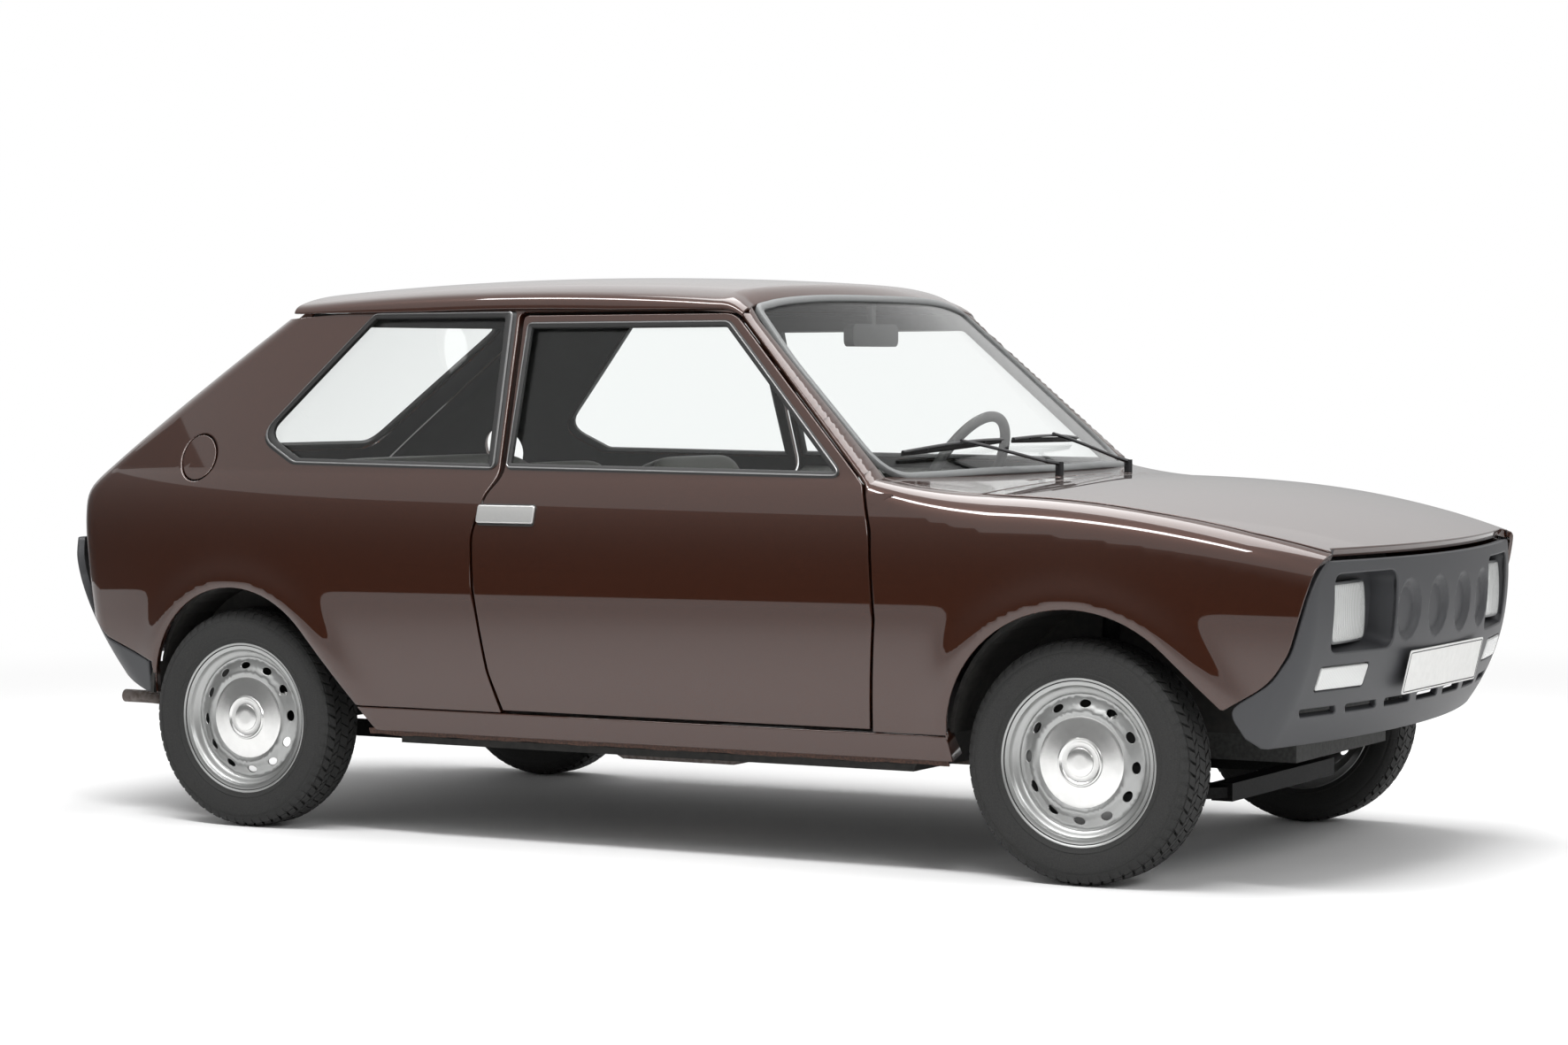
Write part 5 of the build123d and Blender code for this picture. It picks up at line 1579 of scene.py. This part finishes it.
back_lean = radians(70.7)
front_pads = []
for sign, label in ((-1, "right"), (1, "left")):
    front_pads.append(pad("front_cushion_" + label, (front_axle - 1178, sign * 320, 362), (240, 226, 66), 0,
                          44))
    front_pads.append(pad("front_back_" + label, (front_axle - 1504, sign * 320, 640), (252, 220, 44),
                          back_lean, 44))
rear_pads = [
    pad("rear_cushion", (front_axle - 1828, 0, 432), (238, 518, 62), 0, 60),
    pad("rear_back", (front_axle - 2138, 0, 660), (232, 518, 42), radians(71), 60),
]
for made in front_pads:
    finish_piece(made, "body", "seat_vinyl", "front_seats")
for made in rear_pads:
    finish_piece(made, "body", "seat_vinyl", "rear_seat")

# ---- finishes of the CAD nodes that stay ---------------------------------------------------------
black_steel = metal("black steel", (0.022, 0.022, 0.022), 0.6, 200, 0.3)
rusty_steel = grained("exhaust steel", (0.055, 0.038, 0.030), (0.13, 0.11, 0.10), 0.6, 90, 0.5, 0.0008)
dash_plastic = grained("dashboard plastic", (0.060, 0.062, 0.062), (0.085, 0.088, 0.088), 0.55, 1400, 0.2)
engine_grey = grained("engine casting", (0.024, 0.024, 0.023), (0.045, 0.045, 0.043), 0.7, 120, 0.3, 0.0008)
node_finishes = {
    "floor_pan": underbody, "wheel_housings": underbody, "front_suspension": black_steel,
        "rear_axle": black_steel,
    "knuckle_right": black_steel, "knuckle_left": black_steel, "engine_block": engine_grey,
        "fuel_tank": black_steel,
    "exhaust": rusty_steel, "dashboard": dash_plastic, "steering_column": cabin_plastic,
        "steering_wheel": cabin_plastic,
    "seat_runners": black_steel, "rear_view_mirror": cabin_plastic,
}
for name, finish in node_finishes.items():
    for place in frame["nodes"][name].material_slots:
        place.material = finish

# ---- stage --------------------------------------------------------------------------------------
def far_mix(nodes, links, start, end):
    """Factor that rises from 0 to 1 between two distances from the middle of the floor, in metres."""
    place = nodes.new("ShaderNodeTexCoord")
    distance = nodes.new("ShaderNodeVectorMath")
    distance.operation = "LENGTH"
    links.new(place.outputs["Object"], distance.inputs[0])
    ramp = nodes.new("ShaderNodeMapRange")
    ramp.interpolation_type = "SMOOTHSTEP"
    ramp.inputs["From Min"].default_value = start
    ramp.inputs["From Max"].default_value = end
    links.new(distance.outputs["Value"], ramp.inputs["Value"])
    return ramp


bpy.ops.mesh.primitive_plane_add(size=80)
floor = bpy.context.object
floor.name = "floor"
floor_material, nodes, links, floor_shader = new_material("floor", (0.93, 0.93, 0.93), 0.9)
white = nodes.new("ShaderNodeEmission")
blend_far = nodes.new("ShaderNodeMixShader")
links.new(far_mix(nodes, links, 3.0, 6.5).outputs["Result"], blend_far.inputs["Fac"])
links.new(floor_shader.outputs["BSDF"], blend_far.inputs[1])
links.new(white.outputs["Emission"], blend_far.inputs[2])
links.new(blend_far.outputs["Shader"], nodes["Material Output"].inputs["Surface"])
floor.data.materials.append(floor_material)

world = bpy.data.worlds.new("studio")
bpy.context.scene.world = world
world.use_nodes = True
nodes, links = world.node_tree.nodes, world.node_tree.links
path = nodes.new("ShaderNodeLightPath")
seen = path.outputs["Is Camera Ray"]
for kind in ("Is Glossy Ray", "Is Transmission Ray"):
    either = nodes.new("ShaderNodeMath")
    either.operation = "MAXIMUM"
    links.new(seen, either.inputs[0])
    links.new(path.outputs[kind], either.inputs[1])
    seen = either.outputs["Value"]
level = nodes.new("ShaderNodeMapRange")
level.inputs["To Min"].default_value = 0.55
level.inputs["To Max"].default_value = 1.0
links.new(seen, level.inputs["Value"])
links.new(level.outputs["Result"], nodes["Background"].inputs["Strength"])
nodes["Background"].inputs["Color"].default_value = (1, 1, 1, 1)


def softbox(name, place, aim, wide, deep, power):
    """Area lamp, in metres."""
    data = bpy.data.lights.new(name, "AREA")
    data.shape = "RECTANGLE"
    data.size, data.size_y = wide, deep
    data.energy = power
    lamp = bpy.data.objects.new(name, data)
    lamp.location = place
    lamp.rotation_euler = (Vector(aim) - Vector(place)).to_track_quat("-Z", "Y").to_euler()
    bpy.context.scene.collection.objects.link(lamp)


softbox("top_light", (0.3, 0.8, 5.2), (0, 0, 0.4), 5.0, 3.0, 230)
softbox("side_light", (-0.3, -2.6, 4.6), (0, -0.6, 0.6), 5.5, 0.5, 190)
softbox("front_light", (5.5, -3.0, 3.6), (1.2, 0, 0.5), 2.2, 1.6, 90)


def flag(name, radius, first, last, low, high, dark, light):
    """Curved card round the car that only reflections see: its grey runs from dark, low down, to light."""
    angles = np.radians(np.linspace(first, last, 49))
    rings = [np.stack([radius * np.cos(angles), radius * np.sin(angles), np.full(49, z)], -1) for z in (low,
        high)]
    faces = [(i, i + 1, i + 50, i + 49) for i in range(48)]
    material = bpy.data.materials.new(name)
    material.use_nodes = True
    nodes, links = material.node_tree.nodes, material.node_tree.links
    glow = nodes.new("ShaderNodeEmission")
    place = nodes.new("ShaderNodeTexCoord")
    split = nodes.new("ShaderNodeSeparateXYZ")
    ramp = nodes.new("ShaderNodeMapRange")
    ramp.inputs["From Min"].default_value = low * MM
    ramp.inputs["From Max"].default_value = high * MM
    ramp.inputs["To Min"].default_value = dark
    ramp.inputs["To Max"].default_value = light
    links.new(place.outputs["Object"], split.inputs["Vector"])
    links.new(split.outputs["Z"], ramp.inputs["Value"])
    links.new(ramp.outputs["Result"], glow.inputs["Strength"])
    links.new(glow.outputs["Emission"], nodes["Material Output"].inputs["Surface"])
    card = make_object(name, np.concatenate(rings), faces, material)
    for unseen in ("camera", "diffuse", "transmission", "shadow", "volume_scatter"):
        setattr(card, "visible_" + unseen, False)


flag("near_flag", 7500, 170, 330, 20, 3600, 0.02, 0.38)
flag("far_flag", 8000, -30, 170, 20, 3600, 0.3, 0.92)

camera_data = bpy.data.cameras.new("camera")
camera_data.sensor_width = 36
camera_data.lens = 84.63
camera_data.clip_end = 200
camera = bpy.data.objects.new("camera", camera_data)
bpy.context.scene.collection.objects.link(camera)
camera.location = ((front_axle + 3309.3) * MM, -7.8339, 1.1027)
camera.rotation_euler = (radians(90 - 2.35), radians(0.16), radians(29.43))
bpy.context.scene.camera = camera
bpy.context.scene.view_settings.view_transform = "Standard"
